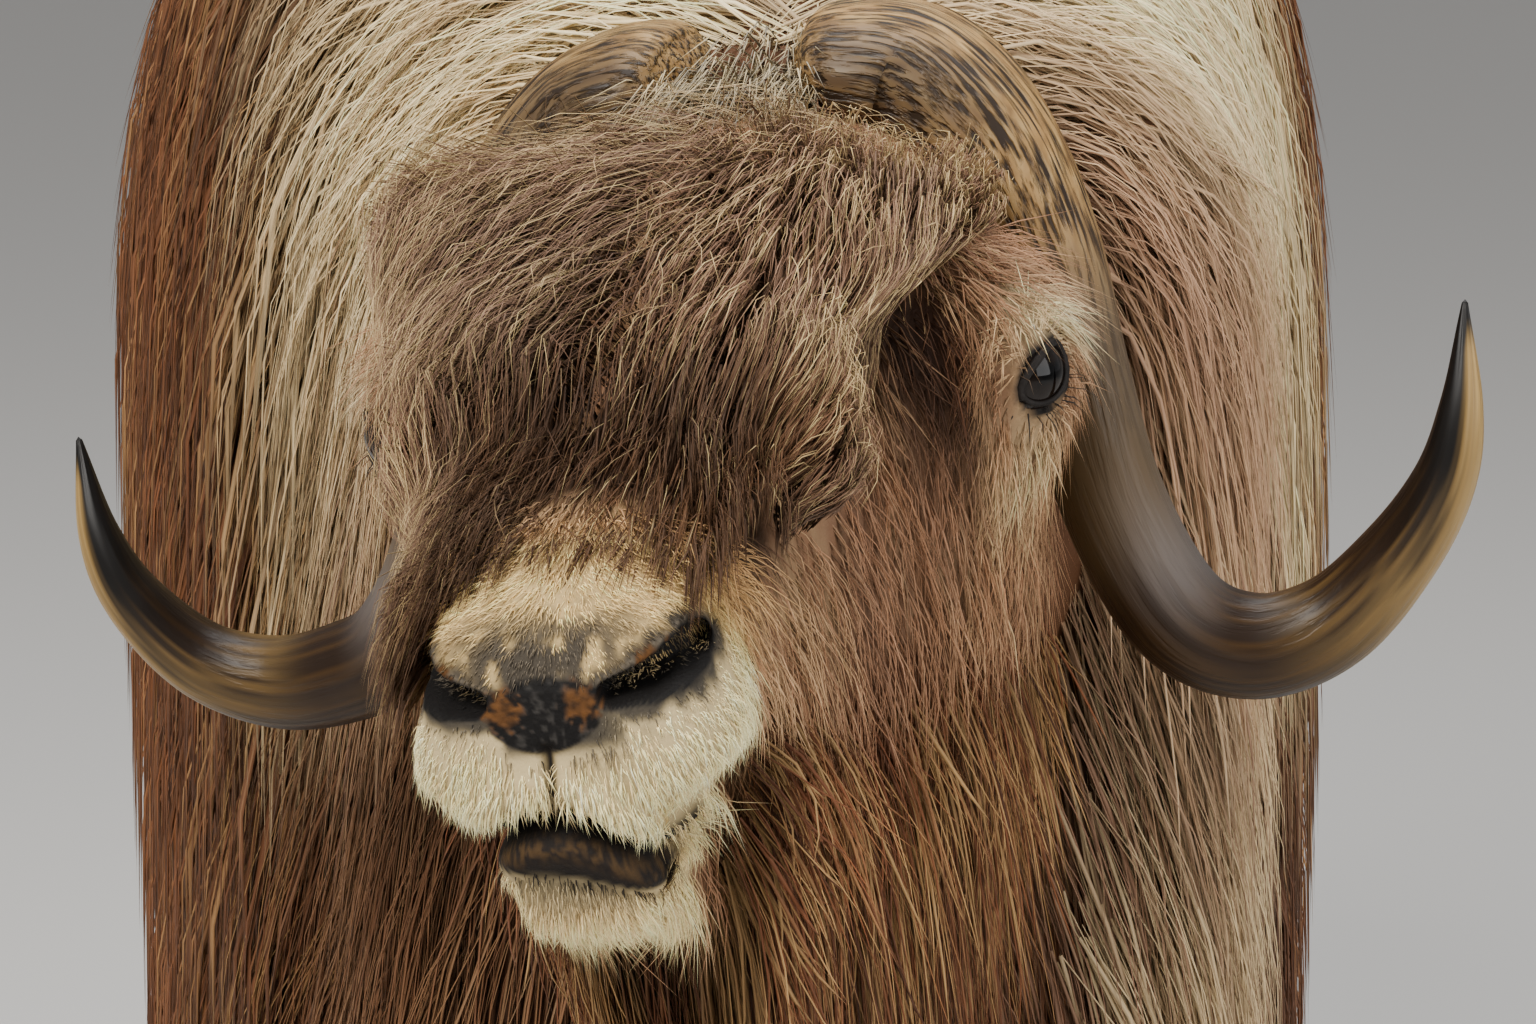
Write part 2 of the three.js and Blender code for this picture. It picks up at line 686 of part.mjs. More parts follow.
function woolLocks() {
  const made = [];
  const { count, width, thick, from, to, lift, wave } = WOOL_LOCKS;
  WOOL_TIERS.forEach(({ root, tip }, row) => {
    const places = count + (row % 2);
    for (let i = 0; i < places; i++) {
      const angle = mix(from, to, i / (places - 1)) + random(-3, 3);
      const length = random(...LENGTHS);
      const line = (s) => {
        const y = mix(root, tip, s * length);
        const inset = mix(WOOL_SUNK, -WOOL_OUT, s ** 0.7) - (i % 2) * lift * Math.min(1, 3 * s);
        return woolPoint(y, angle + wave * Math.sin(3 * s + i), inset);
      };
      const side = woolPoint(root, angle + 4, 0).sub(woolPoint(root, angle - 4, 0));
      const face = line(0.5).sub(vec(0, root, -40));
      made.push(lock(line, side, face, width * random(...WIDTHS), thick));
    }
  });
  return made;
}

// Hair that hangs from the head, out over the cheek and then straight down
function beardLocks(side) {
  const made = [];
  const down = vec(0, 0, -1).transformDirection(headFrame.clone().invert());
  for (const [row, { angle, at, hang, width }] of BEARD.entries()) {
    at.forEach((y, i) => {
      const skin = headPoint(y, angle);
      const out = headPoint(y, angle, 1).sub(skin).setY(0).normalize();
      const lift = (i % 2) * BEARD_LOCKS.lift;
      const reach = hang * random(...LENGTHS);
      const points = BEARD_CURVE.map((bend) =>
        skin
          .clone()
          .addScaledVector(out, BEARD_OUT * bend.out + lift)
          .addScaledVector(down, bend.down * reach),
      );
      points.unshift(skin.clone().addScaledVector(out, -BEARD_LOCKS.sunk));
      points[3].y += BEARD_LOCKS.back;
      for (const p of points) p.x *= side;
      const curve = new THREE.CubicBezierCurve3(...points);
      const line = (s) => curve.getPoint(Math.min(1, s));
      const wide = width * random(...WIDTHS);
      const flat = row === 2 ? vec(0.5 * side, 1, 0) : BACK;
      made.push(lock(line, flat, vec(out.x * side, 0, out.z), wide, BEARD_LOCKS.thick));
    });
  }
  return made;
}

// Pale wool between the horns
function crestLocks() {
  return [-1, 0, 1].map((i) => {
    const points = [CREST.root, CREST.bend, CREST.tip].map((at, k) =>
      vec(...at).addScaledVector(vec(...CREST.shift[k]), i),
    );
    const curve = new THREE.QuadraticBezierCurve3(...points);
    return lock((s) => curve.getPoint(Math.min(1, s)), LEFT, UP, CREST.width, CREST.thick);
  });
}

function woolPad() {
  const rings = WOOL.map(({ y, rise, half, low }) => {
    const top = along(HEAD, "y", "top", y) + rise * WOOL_CORE;
    const wide = mix(half - 18, half, WOOL_CORE);
    const bottom = low - 20;
    return oval(vec(0, y, (top + bottom) / 2), LEFT, UP, wide, (top - bottom) / 2, 16, 2.6);
  });
  return loft(rings);
}

const eyeCentre = (side) => {
  const at = EYE_AT.clone().addScaledVector(EYE_AXIS, -EYE_RADIUS);
  return vec(at.x * side, at.y, at.z);
};

function eyeBall(side, grow) {
  const r = EYE_RADIUS + grow;
  return ellipsoid(eyeCentre(side), vec(r, r, r), 10);
}

// The mound round the eye and the opening between its lids
function orbit(side) {
  const at = eyeCentre(side);
  const r = EYE_RADIUS + LID;
  const ball = ellipsoid(at, vec(r, r, r), 10);
  const brow = ellipsoid(vec(side * BROW.at[0], BROW.at[1], BROW.at[2]), vec(...BROW.radii), 9);
  return joined([ball, brow]);
}

function lidOpening(side) {
  const axis = vec(EYE_AXIS.x * side, EYE_AXIS.y, EYE_AXIS.z);
  const across = new THREE.Vector3().crossVectors(UP, axis).normalize();
  const up = new THREE.Vector3().crossVectors(axis, across);
  const rings = OPENING_RINGS.map(({ out, grow }) => {
    const at = eyeCentre(side).addScaledVector(axis, out);
    return oval(at, across, up, EYE_OPENING.wide * grow, EYE_OPENING.high * grow, 12, 1.7);
  });
  return loft(rings);
}

function nostril(side) {
  const a = new THREE.Vector3(...NOSTRIL.inner);
  const b = new THREE.Vector3(...NOSTRIL.outer);
  const rings = [0, 0.3, 0.7, 1].map((t) => {
    const at = a.clone().lerp(b, t);
    const r = NOSTRIL.radius * mix(1.15, 0.8, t);
    const out = vec(mix(0.1, 0.8, t), mix(-1, -0.6, t), 0.1).normalize();
    const centre = vec(side * at.x, at.y + NOSTRIL.in, at.z);
    return oval(centre, vec(side * out.x, out.y, out.z), UP, r * NOSTRIL.long, r, 8, 2);
  });
  return loft(rings);
}

// A wedge between the lips, bowed up in the middle
function mouthGap() {
  const places = [0, MOUTH_STEP, 2 * MOUTH_STEP, MOUTH.corner, MOUTH.end];
  const rings = [...places.slice(1).reverse().map((x) => -x), ...places].map((x) => {
    const far = Math.abs(x) / MOUTH.corner;
    const z = MOUTH.front - MOUTH.drop * far ** 1.5;
    const open = MOUTH.gape * Math.max(0.25, 1 - far ** 2);
    const back = MOUTH.back - 30 * Math.max(0, 1 - far);
    return [vec(x, back, z), vec(x, MOUTH.nose, z + open), vec(x, MOUTH.nose, z - open)];
  });
  return loft(rings);
}

function horn(side, grow) {
  const share = side > 0 ? SIDE_HOOK.left : SIDE_HOOK.right;
  const points = HORN.map(({ at, hook = 0 }) => vec(side * at[0], at[1], at[2] - share * hook));
  const rings = HORN.map(({ wide, thick }, i) => {
    const before = points[Math.max(0, i - 1)];
    const after = points[Math.min(points.length - 1, i + 1)];
    const run = after.clone().sub(before).normalize();
    const fore = vec(0, -1, 0).addScaledVector(run, run.y).normalize();
    const out = new THREE.Vector3().crossVectors(run, fore);
    return oval(points[i], fore, out, wide + grow, thick + grow, 10, 2.15);
  });
  const tip = vec(side * HORN_TIP[0], HORN_TIP[1], HORN_TIP[2] + 3 * grow);
  const end = vec(side * (HORN_END[0] - grow), HORN_END[1], HORN_END[2]);
  return loft(rings, tip, end);
}

// A leaf with a hollow on the side it opens to
function ear(side, grow) {
  const root = vec(side * EAR.root[0], EAR.root[1], EAR.root[2]);
  const tip = vec(side * EAR.tip[0], EAR.tip[1], EAR.tip[2]);
  const run = tip.clone().sub(root);
  const open = vec(side * EAR.open[0], EAR.open[1], EAR.open[2]);
  open.addScaledVector(run, -open.dot(run) / run.lengthSq()).normalize();
  const across = new THREE.Vector3().crossVectors(open, run).normalize();
  const rings = EAR_SHAPE.map(({ t, half, deep }) => {
    const at = root.clone().addScaledVector(run, t);
    return oval(at, across, open, EAR.half * half + grow, deep + grow, 10);
  });
  const leaf = loft(rings, root.clone().addScaledVector(run, -grow / 100), tip);
  if (grow) return leaf;
  const hollow = EAR_SHAPE.slice(1).map(({ t, half, deep }) => {
    const at = root.clone().addScaledVector(run, t).addScaledVector(open, deep * EAR_CUP.out);
    return oval(at, across, open, EAR.half * half * EAR_CUP.wide, deep * EAR_CUP.deep, 10);
  });
  const last = root.clone().addScaledVector(run, EAR_CUP.end).addScaledVector(open, EAR_CUP.endOut);
  return largest(leaf.subtract(loft(hollow, undefined, last)));
}

// Parting the animal into nodes

const across = (y) => sides(vec(0, 1, LEAN), vec(0, y, PART_HEIGHT));
const middle = sides(LEFT, vec(0, 0, 0));
const shoulderCut = across(SHOULDER_FRONT);
const flankCut = across(FLANK_FRONT);
const rumpCut = across(RUMP_FRONT);
const headTurn = degrees(HEAD_YAW);
const headCut = sides(
  vec(-Math.sin(headTurn), Math.cos(headTurn), 0),
  inWorld(vec(0, HEAD_BACK, 0)),
);
const legCut = sides(UP, vec(0, 0, LEG_TOP));

const SIDES = [["left", 1], ["right", -1]];
const nodes = {};
const regions = {
  neck: [headCut.front, shoulderCut.back],
  shoulder: [shoulderCut.front, flankCut.back],
  flank: [flankCut.front, rumpCut.back],
  rump: [rumpCut.front],
};

const torso = joined([bodyCore(), neckCore()]);
const legs = [];
const LEGS = [
  { name: "front", y: FRONT_LEG_Y, rows: FRONT_ROWS },
  { name: "hind", y: HIND_LEG_Y, rows: HIND_ROWS },
];
for (const { name, y, rows } of LEGS) {
  for (const [label, side] of SIDES) {
    const x = side * LEG_SPREAD;
    const whole = joined([legLoft(rows, x, y), dewclaws(x, y)]);
    legs.push(whole);
    const lower = common(whole, legCut.back, halfSpace(UP, vec(0, 0, CORONET)));
    nodes[`leg_${name}_${label}`] = largest(lower);
    nodes[`hoof_${name}_${label}`] = hoof(x, y - HOOF_FORWARD);
  }
}
const flesh = joined([torso, ...legs.map((leg) => common(leg, legCut.front))]);

const neckCoat = [...chestLocks(), ...maneLocks(1), ...maneLocks(-1)];
nodes.neck = largest(common(joined([flesh, ...neckCoat]), ...regions.neck));
const spans = {
  shoulder: [SHOULDER_FRONT, FLANK_FRONT],
  flank: [FLANK_FRONT, RUMP_FRONT],
};
for (const [label, half] of [["left", middle.front], ["right", middle.back]]) {
  for (const name of ["shoulder", "flank", "rump"]) {
    const mirror = label === "right";
    const coat = name === "rump" ? rumpLocks(mirror) : sideLocks(...spans[name], mirror);
    let node = common(joined([flesh, ...coat]), half, ...regions[name]);
    if (name === "rump") node = node.subtract(tail(GAP));
    nodes[`${name}_${label}`] = largest(node);
  }
}
nodes.tail = tail(0);

const pair = SIDES.map(([, side]) => side);
const cavities = joined([
  ...pair.map((side) => eyeBall(side, GAP)),
  ...pair.map((side) => horn(side, GAP)),
  ...pair.map((side) => ear(side, GAP)),
  ...pair.map(lidOpening),
  ...pair.map(nostril),
  mouthGap(),
]);
const skull = joined([headFlesh(), woolPad(), ...pair.map(orbit)]);
const headHair = joined([...woolLocks(), ...crestLocks(), ...beardLocks(1), ...beardLocks(-1)]);
const wholeHead = joined([headSolid(joined([skull, headHair])), neckCore()]);
nodes.head = largest(common(wholeHead.subtract(headSolid(cavities)), headCut.back));
for (const [label, side] of SIDES) {
  nodes[`horn_${label}`] = headSolid(horn(side, 0));
  nodes[`eye_${label}`] = headSolid(eyeBall(side, 0));
  const whole = headSolid(ear(side, 0));
  nodes[`ear_${label}`] = whole;
  nodes.neck = largest(nodes.neck.subtract(headSolid(ear(side, GAP))));
}

// Colour of each kind of node
const COLOURS = {
  coat: 0x5b3d28,
  stocking: 0xcdbb9a,
  hoof: 0x2b2622,
  horn: 0x8a7450,
  eye: 0x16100c,
};
const colourOf = (name) => {
  if (name.startsWith("hoof")) return COLOURS.hoof;
  if (name.startsWith("horn")) return COLOURS.horn;
  if (name.startsWith("eye")) return COLOURS.eye;
  if (name.startsWith("leg")) return COLOURS.stocking;
  return COLOURS.coat;
};

function meshOf(name, made) {
  const mesh = made.getMesh();
  const geometry = new THREE.BufferGeometry();
  const count = mesh.vertProperties.length / mesh.numProp;
  const points = new Float32Array(count * 3);
  for (let i = 0; i < count; i++) {
    for (let k = 0; k < 3; k++) points[3 * i + k] = mesh.vertProperties[mesh.numProp * i + k];
  }
  geometry.setAttribute("position", new THREE.BufferAttribute(points, 3));
  geometry.setIndex([...mesh.triVerts]);
  geometry.computeVertexNormals();
  const material = new THREE.MeshStandardMaterial({ color: colourOf(name), roughness: 0.8 });
  const out = new THREE.Mesh(geometry, material);
  out.name = name;
  return out;
}

const muskox = new THREE.Group();
muskox.name = "muskox";
const box = new THREE.Box3();
for (const [name, made] of Object.entries(nodes)) {
  const mesh = meshOf(name, made);
  mesh.geometry.computeBoundingBox();
  box.union(mesh.geometry.boundingBox);
  muskox.add(mesh);
}
const centre = box.getCenter(vec(0, 0, 0));
for (const mesh of muskox.children) mesh.geometry.translate(-centre.x, -centre.y, -box.min.z);

export default muskox;
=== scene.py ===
"""A standing muskox at life size: skin, hair as mesh strands, horns, eyes and hooves.
Sizes are in millimetres in the tables and in metres in Blender."""

import math

import bpy
import numpy as np
from mathutils import Matrix, Vector


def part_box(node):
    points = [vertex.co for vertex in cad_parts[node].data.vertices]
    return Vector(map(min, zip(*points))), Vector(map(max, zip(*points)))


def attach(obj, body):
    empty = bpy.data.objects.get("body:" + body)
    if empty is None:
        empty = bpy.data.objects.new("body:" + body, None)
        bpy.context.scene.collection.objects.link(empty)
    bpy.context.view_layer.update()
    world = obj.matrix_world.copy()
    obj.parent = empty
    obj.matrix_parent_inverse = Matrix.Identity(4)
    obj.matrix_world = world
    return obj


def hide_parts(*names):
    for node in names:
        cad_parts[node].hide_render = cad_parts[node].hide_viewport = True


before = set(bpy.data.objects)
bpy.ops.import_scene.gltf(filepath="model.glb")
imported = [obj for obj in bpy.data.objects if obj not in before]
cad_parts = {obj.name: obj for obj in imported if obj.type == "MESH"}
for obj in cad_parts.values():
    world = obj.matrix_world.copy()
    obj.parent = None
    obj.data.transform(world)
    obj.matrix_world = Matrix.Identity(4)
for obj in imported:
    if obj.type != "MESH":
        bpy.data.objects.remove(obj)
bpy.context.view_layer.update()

MM = 0.001
TAU = 2 * math.pi
SIDES = (("left", 1), ("right", -1))
rng = np.random.default_rng(11)

# The model's own frame stands shifted so that its box is centred over the origin
HOOF_AT = (135.0, -438.0)
low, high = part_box("hoof_front_left")
SHIFT = np.array([(low[i] + high[i]) / 2 / MM - HOOF_AT[i] for i in (0, 1)] + [0.0])

# Body sizes, as in the solids
RUMP_BASE, NECK_BASE = 480, -600
RUMP_REACH, THROAT_REACH = 300, 90
ROUNDNESS = 2.35
BODY = {
    "y": (-800, -690, -560, -350, -180, 50, 250, 400, 480),
    "top": (1100, 1165, 1250, 1312, 1284, 1224, 1204, 1194, 1184),
    "half": (182, 222, 264, 305, 328, 350, 358, 350, 338),
    "wide": (845, 835, 820, 815, 815, 820, 820, 815, 810),
    "belly": (620, 575, 515, 475, 468, 460, 462, 480, 500),
    "hem": (470, 430, 385, 325, 300, 288, 285, 290, 298),
}
NECK = {
    "t": (0, 1 / 3, 2 / 3, 1),
    "x": (0, 6, 15, 5),
    "y": (-560, -660, -740, -800),
    "turn": (0, -6, -12, -14.8),
    "half": (205, 185, 160, 138),
    "top": (1180, 1128, 1082, 1062),
    "bottom": (520, 590, 660, 740),
}
MANE_OUT, MANE_HEM, MANE_WIDEST = 46, 450, 0.42
HEAD = {
    "y": (-405, -397, -383, -350, -310, -260, -200, -150, -90, -30, 30, 120),
    "top": (-64, -51, -42, -30, -15, 0, 20, 38, 52, 58, 56, 46),
    "bottom": (-130, -158, -174, -186, -190, -192, -200, -212, -222, -225, -215, -195),
    "half": (34, 50, 59, 66, 68, 70, 88, 111, 124, 122, 112, 100),
    "jaw": (0.95, 0.8, 0.75, 0.7, 0.68, 0.7, 0.7, 0.68, 0.7, 0.74, 0.8, 0.9),
    "square": (2.6, 2.6, 2.6, 2.5, 2.4, 2.3, 2.3, 2.3, 2.3, 2.3, 2.3, 2.3),
}
WOOL = {
    "y": (-292, -276, -220, -150, -80, -20),
    "rise": (15, 34, 46, 44, 22, 6),
    "half": (72, 90, 106, 116, 118, 104),
    "low": (-52, -60, -60, -10, 0, 10),
}
HEAD_AT = np.array([0.0, -820.0, 985.0])
HEAD_YAW, HEAD_PITCH, HEAD_ROLL = -14.8, 6.5, -7.6
LEG_SPREAD = 135
FRONT_LEG, HIND_LEG = -430, 545

# The skin lies this deep under the outline of the long coat
SKIN_INSET = 62


# Helpers

class Table:
    """Columns of numbers, smooth between their rows"""

    def __init__(self, columns, key):
        self.key = np.array(columns[key], float)
        self.columns = {}
        for name, values in columns.items():
            if name != key:
                values = np.array(values, float)
                self.columns[name] = (values, self.slopes(values))

    def slopes(self, values):
        after = np.minimum(np.arange(len(values)) + 1, len(values) - 1)
        before = np.maximum(np.arange(len(values)) - 1, 0)
        return (values[after] - values[before]) / (self.key[after] - self.key[before])

    def __call__(self, name, at):
        values, slopes = self.columns[name]
        at = np.clip(at, self.key[0], self.key[-1])
        i = np.clip(np.searchsorted(self.key, at, side="right") - 1, 0, len(self.key) - 2)
        span = self.key[i + 1] - self.key[i]
        t = (at - self.key[i]) / span
        h = t * t * (3 - 2 * t)
        bend = span * t * (1 - t)
        level = values[i] * (1 - h) + values[i + 1] * h
        return level + bend * ((1 - t) * slopes[i] - t * slopes[i + 1])


def row_table(rows, names):
    """A table from rows of numbers, by their first column or else by the row's number, t"""
    columns = list(np.array(rows, float).T)
    if names[0] == "t":
        columns = [np.arange(len(rows)), *columns]
    return Table(dict(zip(names, columns)), names[0])


body = Table(BODY, "y")
neck = Table(NECK, "t")
head = Table(HEAD, "y")
wool = Table(WOOL, "y")


def mix(a, b, t):
    return a + (b - a) * t


def blend(a, b, t):
    """A mix of colours or directions, with one amount for each point"""
    return a + (b - a) * np.asarray(t)[..., None]


def layers(colour, *coats):
    """Blends each colour over the last by its amount"""
    for over, amount in coats:
        colour = blend(colour, over, amount)
    return colour


def smooth(low_edge, high_edge, value):
    t = np.clip((value - low_edge) / (high_edge - low_edge), 0, 1)
    return t * t * (3 - 2 * t)


def power(value, p):
    return np.sign(value) * np.abs(value) ** p


def rounded(angle, square):
    """Across and up on an outline between an ellipse, at 2, and a square"""
    return power(np.cos(angle), 2 / square), power(np.sin(angle), 2 / square)


def unit(v):
    return v / np.maximum(np.linalg.norm(v, axis=-1, keepdims=True), 1e-9)


def join(*parts):
    """Points from their coordinates"""
    return np.stack(np.broadcast_arrays(*parts), -1)


def split(p):
    return np.moveaxis(p, -1, 0)


def bump_at(p, centre, radii):
    """A smooth hill of height 1 round a point"""
    d = (p - np.asarray(centre, float)) / np.asarray(radii, float)
    return np.exp(-np.sum(d * d, axis=-1))


def ridge(value, half_width):
    """A smooth ridge of height 1 along value 0"""
    return np.exp(-(value / half_width) ** 2)


NOISE_SIZE = 64
noise_grid = np.random.default_rng(5).random((NOISE_SIZE,) * 3)


def noise(points, scale, seed):
    """Smooth value noise from 0 to 1, with features of the given size"""
    p = np.asarray(points, float) / scale + seed * 17.31
    cell = np.floor(p).astype(int)
    f = p - cell
    f = f * f * (3 - 2 * f)
    total = 0
    for corner in range(8):
        offset = np.array([corner & 1, corner >> 1 & 1, corner >> 2 & 1])
        at = (cell + offset) % NOISE_SIZE
        weight = np.prod(np.where(offset, f, 1 - f), axis=-1)
        total = total + weight * noise_grid[at[..., 0], at[..., 1], at[..., 2]]
    return total


def turn_about(degrees, axis):
    return Matrix.Rotation(math.radians(degrees), 3, axis)


HEAD_TURN = np.array(turn_about(HEAD_YAW, "Z") @ turn_about(HEAD_PITCH, "X") @ turn_about(HEAD_ROLL, "Y"))
DOWN = np.array([0.0, 0.0, -1.0])
DOWN_HEAD = HEAD_TURN.T @ DOWN


def from_head(points):
    """Head-frame millimetres to the body's millimetres"""
    return points @ HEAD_TURN.T + HEAD_AT


def to_scene(points):
    return (points + SHIFT) * MM


def srgb(text):
    """A hex colour as linear light"""
    values = [int(text[i:i + 2], 16) / 255 for i in (0, 2, 4)]
    return np.array([v / 12.92 if v <= 0.04045 else ((v + 0.055) / 1.055) ** 2.4 for v in values])


# Surfaces of the coat

def coat_point(y, heading, u, inset):
    """The body's coat from the spine, u = 0, over the widest line, 1, to the hem, 2"""
    reach = np.where(np.sin(heading) > 0, RUMP_REACH, THROAT_REACH)
    x = (body("half", y) - inset) * np.cos(heading)
    fore = (reach - inset) * np.sin(heading)
    up, out = rounded(np.clip(u, 0, 1) * math.pi / 2, ROUNDNESS)
    wide = body("wide", y)
    rise = body("top", y) - inset - wide
    below = np.maximum(0, u - 1)
    out = out * (1 - 0.05 * below)
    return join(x * out, y + fore * out, wide + rise * up - below * (wide - body("hem", y)))


def belly_point(y, heading, v, inset):
    """The belly from the widest line, v = 0, to the middle, 1"""
    at = coat_point(y, heading, np.ones_like(v), inset)
    out, down = rounded(v * math.pi / 2, ROUNDNESS)
    point = blend(join(0, y, 0), at, out)
    point[..., 2] = mix(at[..., 2], body("belly", y), down)
    return point


def mane_point(t, u, side, inset):
    """The mane from the nape, u = 0, over the widest line, 1, to the hem, 2"""
    turn = np.radians(neck("turn", t))
    top = neck("top", t)
    wide = mix(top, neck("bottom", t), MANE_WIDEST)
    up, out = rounded(np.clip(u, 0, 1) * math.pi / 2, ROUNDNESS)
    out = side * (neck("half", t) + MANE_OUT - inset) * out
    z = wide + (top + MANE_OUT - inset - wide) * up - np.maximum(0, u - 1) * (wide - MANE_HEM)
    return join(neck("x", t) + out * np.cos(turn), neck("y", t) + out * np.sin(turn), z)


def head_point(y, angle, grow=0):
    """The flesh of the head in its own frame; the angle is measured up from its left side"""
    across, up = rounded(angle, head("square", y))
    low_part = (1 - np.sin(angle)) / 2
    x = (head("half", y) + grow) * across * mix(1, head("jaw", y), low_part)
    top, bottom = head("top", y), head("bottom", y)
    return join(x, y, (top + bottom) / 2 + ((top - bottom) / 2 + grow) * up)


# Mesh making

def link_mesh(name, mesh, material):
    mesh.materials.append(material)
    piece = bpy.data.objects.new(name, mesh)
    bpy.context.collection.objects.link(piece)
    return piece


def make_object(name, vertices, faces, material):
    mesh = bpy.data.meshes.new(name)
    mesh.from_pydata([tuple(v) for v in vertices], [], faces)
    mesh.validate()
    mesh.update()
    mesh.polygons.foreach_set("use_smooth", np.ones(len(mesh.polygons), bool))
    return link_mesh(name, mesh, material)


def paint(piece, colours, alpha=1.0):
    """Writes one colour for each vertex"""
    rgba = np.empty((len(colours), 4), np.float32)
    rgba[:, :3] = colours
    rgba[:, 3] = alpha
    layer = piece.data.attributes.new("Tint", "FLOAT_COLOR", "POINT")
    layer.data.foreach_set("color", rgba.ravel())


def loft_faces(rows, columns, ends=2):
    """Quads over closed rows of points, with a fan at the first row to the point that follows them
    and, for two ends, another at the last row to the point after that"""
    around = [(j, (j + 1) % columns) for j in range(columns)]
    faces = []
    for a in range(0, (rows - 1) * columns, columns):
        faces += [(a + j, a + k, a + columns + k, a + columns + j) for j, k in around]
    last = (rows - 1) * columns
    for j, k in around:
        faces.append((rows * columns, k, j))
        if ends == 2:
            faces.append((rows * columns + 1, last + j, last + k))
    return faces


def end_values(rows, *ends):
    """Rows of points or colours in one list, with those of the ends after them"""
    return np.concatenate([rows.reshape(-1, rows.shape[-1]), *[end[None] for end in ends]])


# Materials

def add_node(material, kind, inputs=(), **settings):
    node = material.node_tree.nodes.new("ShaderNode" + kind)
    for name, value in settings.items():
        setattr(node, name, value)
    set_inputs(node, inputs)
    return node


def set_inputs(node, inputs):
    for name, value in inputs:
        node.inputs[name].default_value = value


def new_material(name, roughness):
    material = bpy.data.materials.new(name)
    material.use_nodes = True
    shader = material.node_tree.nodes["Principled BSDF"]
    set_inputs(shader, [("Roughness", roughness)])
    return material, shader, material.node_tree.links.new


def tinted_material(name, roughness, specular, bump=None):
    """The colours of the vertices, over a fine bump of this scale, detail, strength and depth"""
    material, shader, link = new_material(name, roughness)
    set_inputs(shader, [("Specular IOR Level", specular)])
    tint = add_node(material, "Attribute", attribute_name="Tint")
    link(tint.outputs["Color"], shader.inputs["Base Color"])
    if bump:
        scale, detail, strength, depth = bump
        place = add_node(material, "TexCoord")
        fine = add_node(material, "TexNoise", [("Scale", scale), ("Detail", detail)])
        relief = add_node(material, "Bump", [("Strength", strength), ("Distance", depth)])
        link(place.outputs["Object"], fine.inputs["Vector"])
        link(fine.outputs["Fac"], relief.inputs["Height"])
        link(relief.outputs["Normal"], shader.inputs["Normal"])
    return material


CRACK_COLOUR = (0.022, 0.014, 0.009, 1)


def horn_material():
    """Horn, with dark cracks that follow the Grain vectors where the colour's alpha is high"""
    material, shader, link = new_material("horn", 0.4)
    set_inputs(shader, [("Specular IOR Level", 0.22)])
    tint = add_node(material, "Attribute", attribute_name="Tint")
    grain = add_node(material, "Attribute", attribute_name="Grain")
    ribs = add_node(material, "TexNoise", [("Scale", 1.0), ("Detail", 3)])
    crack = add_node(material, "MapRange", [("From Min", 0.54), ("From Max", 0.38)])
    share = add_node(material, "Math", operation="MULTIPLY")
    darker = add_node(material, "Mix", data_type="RGBA")
    set_inputs(darker, [(7, CRACK_COLOUR)])
    bump = add_node(material, "Bump", [("Strength", 0.9), ("Distance", 0.0016)], invert=True)
    for source, target in (
        (grain.outputs["Vector"], ribs.inputs["Vector"]),
        (ribs.outputs["Fac"], crack.inputs["Value"]),
        (crack.outputs["Result"], share.inputs[0]),
        (tint.outputs["Alpha"], share.inputs[1]),
        (share.outputs["Value"], darker.inputs[0]),
        (tint.outputs["Color"], darker.inputs[6]),
        (darker.outputs[2], shader.inputs["Base Color"]),
        (share.outputs["Value"], bump.inputs["Height"]),
        (bump.outputs["Normal"], shader.inputs["Normal"]),
    ):
        link(source, target)
    return material


hair = tinted_material("hair", 0.62, 0.25)
skin_stuff = tinted_material("skin", 0.75, 0.2, (420, 4, 0.5, 0.0015))
horn_stuff = horn_material()
hoof_stuff = tinted_material("hoof", 0.5, 0.5, (180, 5, 0.6, 0.001))
lid_stuff = tinted_material("lid", 0.6, 0.15, (700, 5, 0.6, 0.0008))
eye_stuff = tinted_material("eye", 0.05, 0.2)

# Colours of the coat
BROWN_DARK = srgb("3a2416")
BROWN = srgb("6a452b")
BROWN_RED = srgb("7c4a2c")
BROWN_PINK = srgb("8a6a58")
TAN = srgb("b8925f")
BLOND = srgb("d6bc86")
CREAM = srgb("e3cb9c")
CREAM_PALE = srgb("f4dfb0")
BRIDGE_TAN = srgb("ecca8a")
CHIN_TAN = srgb("ecd099")
CHEEK = srgb("ad7f5c")
CHEEK_LIGHT = srgb("cda77b")
BELOW_EYE = srgb("dcbb8e")
LIP_CREAM = srgb("f8dea6")
MANE_PINK = srgb("a67f64")
CREST_GREY = srgb("a59c8c")
ORANGE = srgb("64401c")
LIP_BLACK, LIP_BROWN = srgb("17110d"), srgb("4f3a1e")
BLACK = srgb("15110f")
GREY = srgb("4c4844")
LID_DARK = srgb("24201e")
HOOF_DARK = srgb("2b2420")


# Strands

STRAND_SIDES = 3
STRAND_SCALE = 1.0
PATCH = 0.003


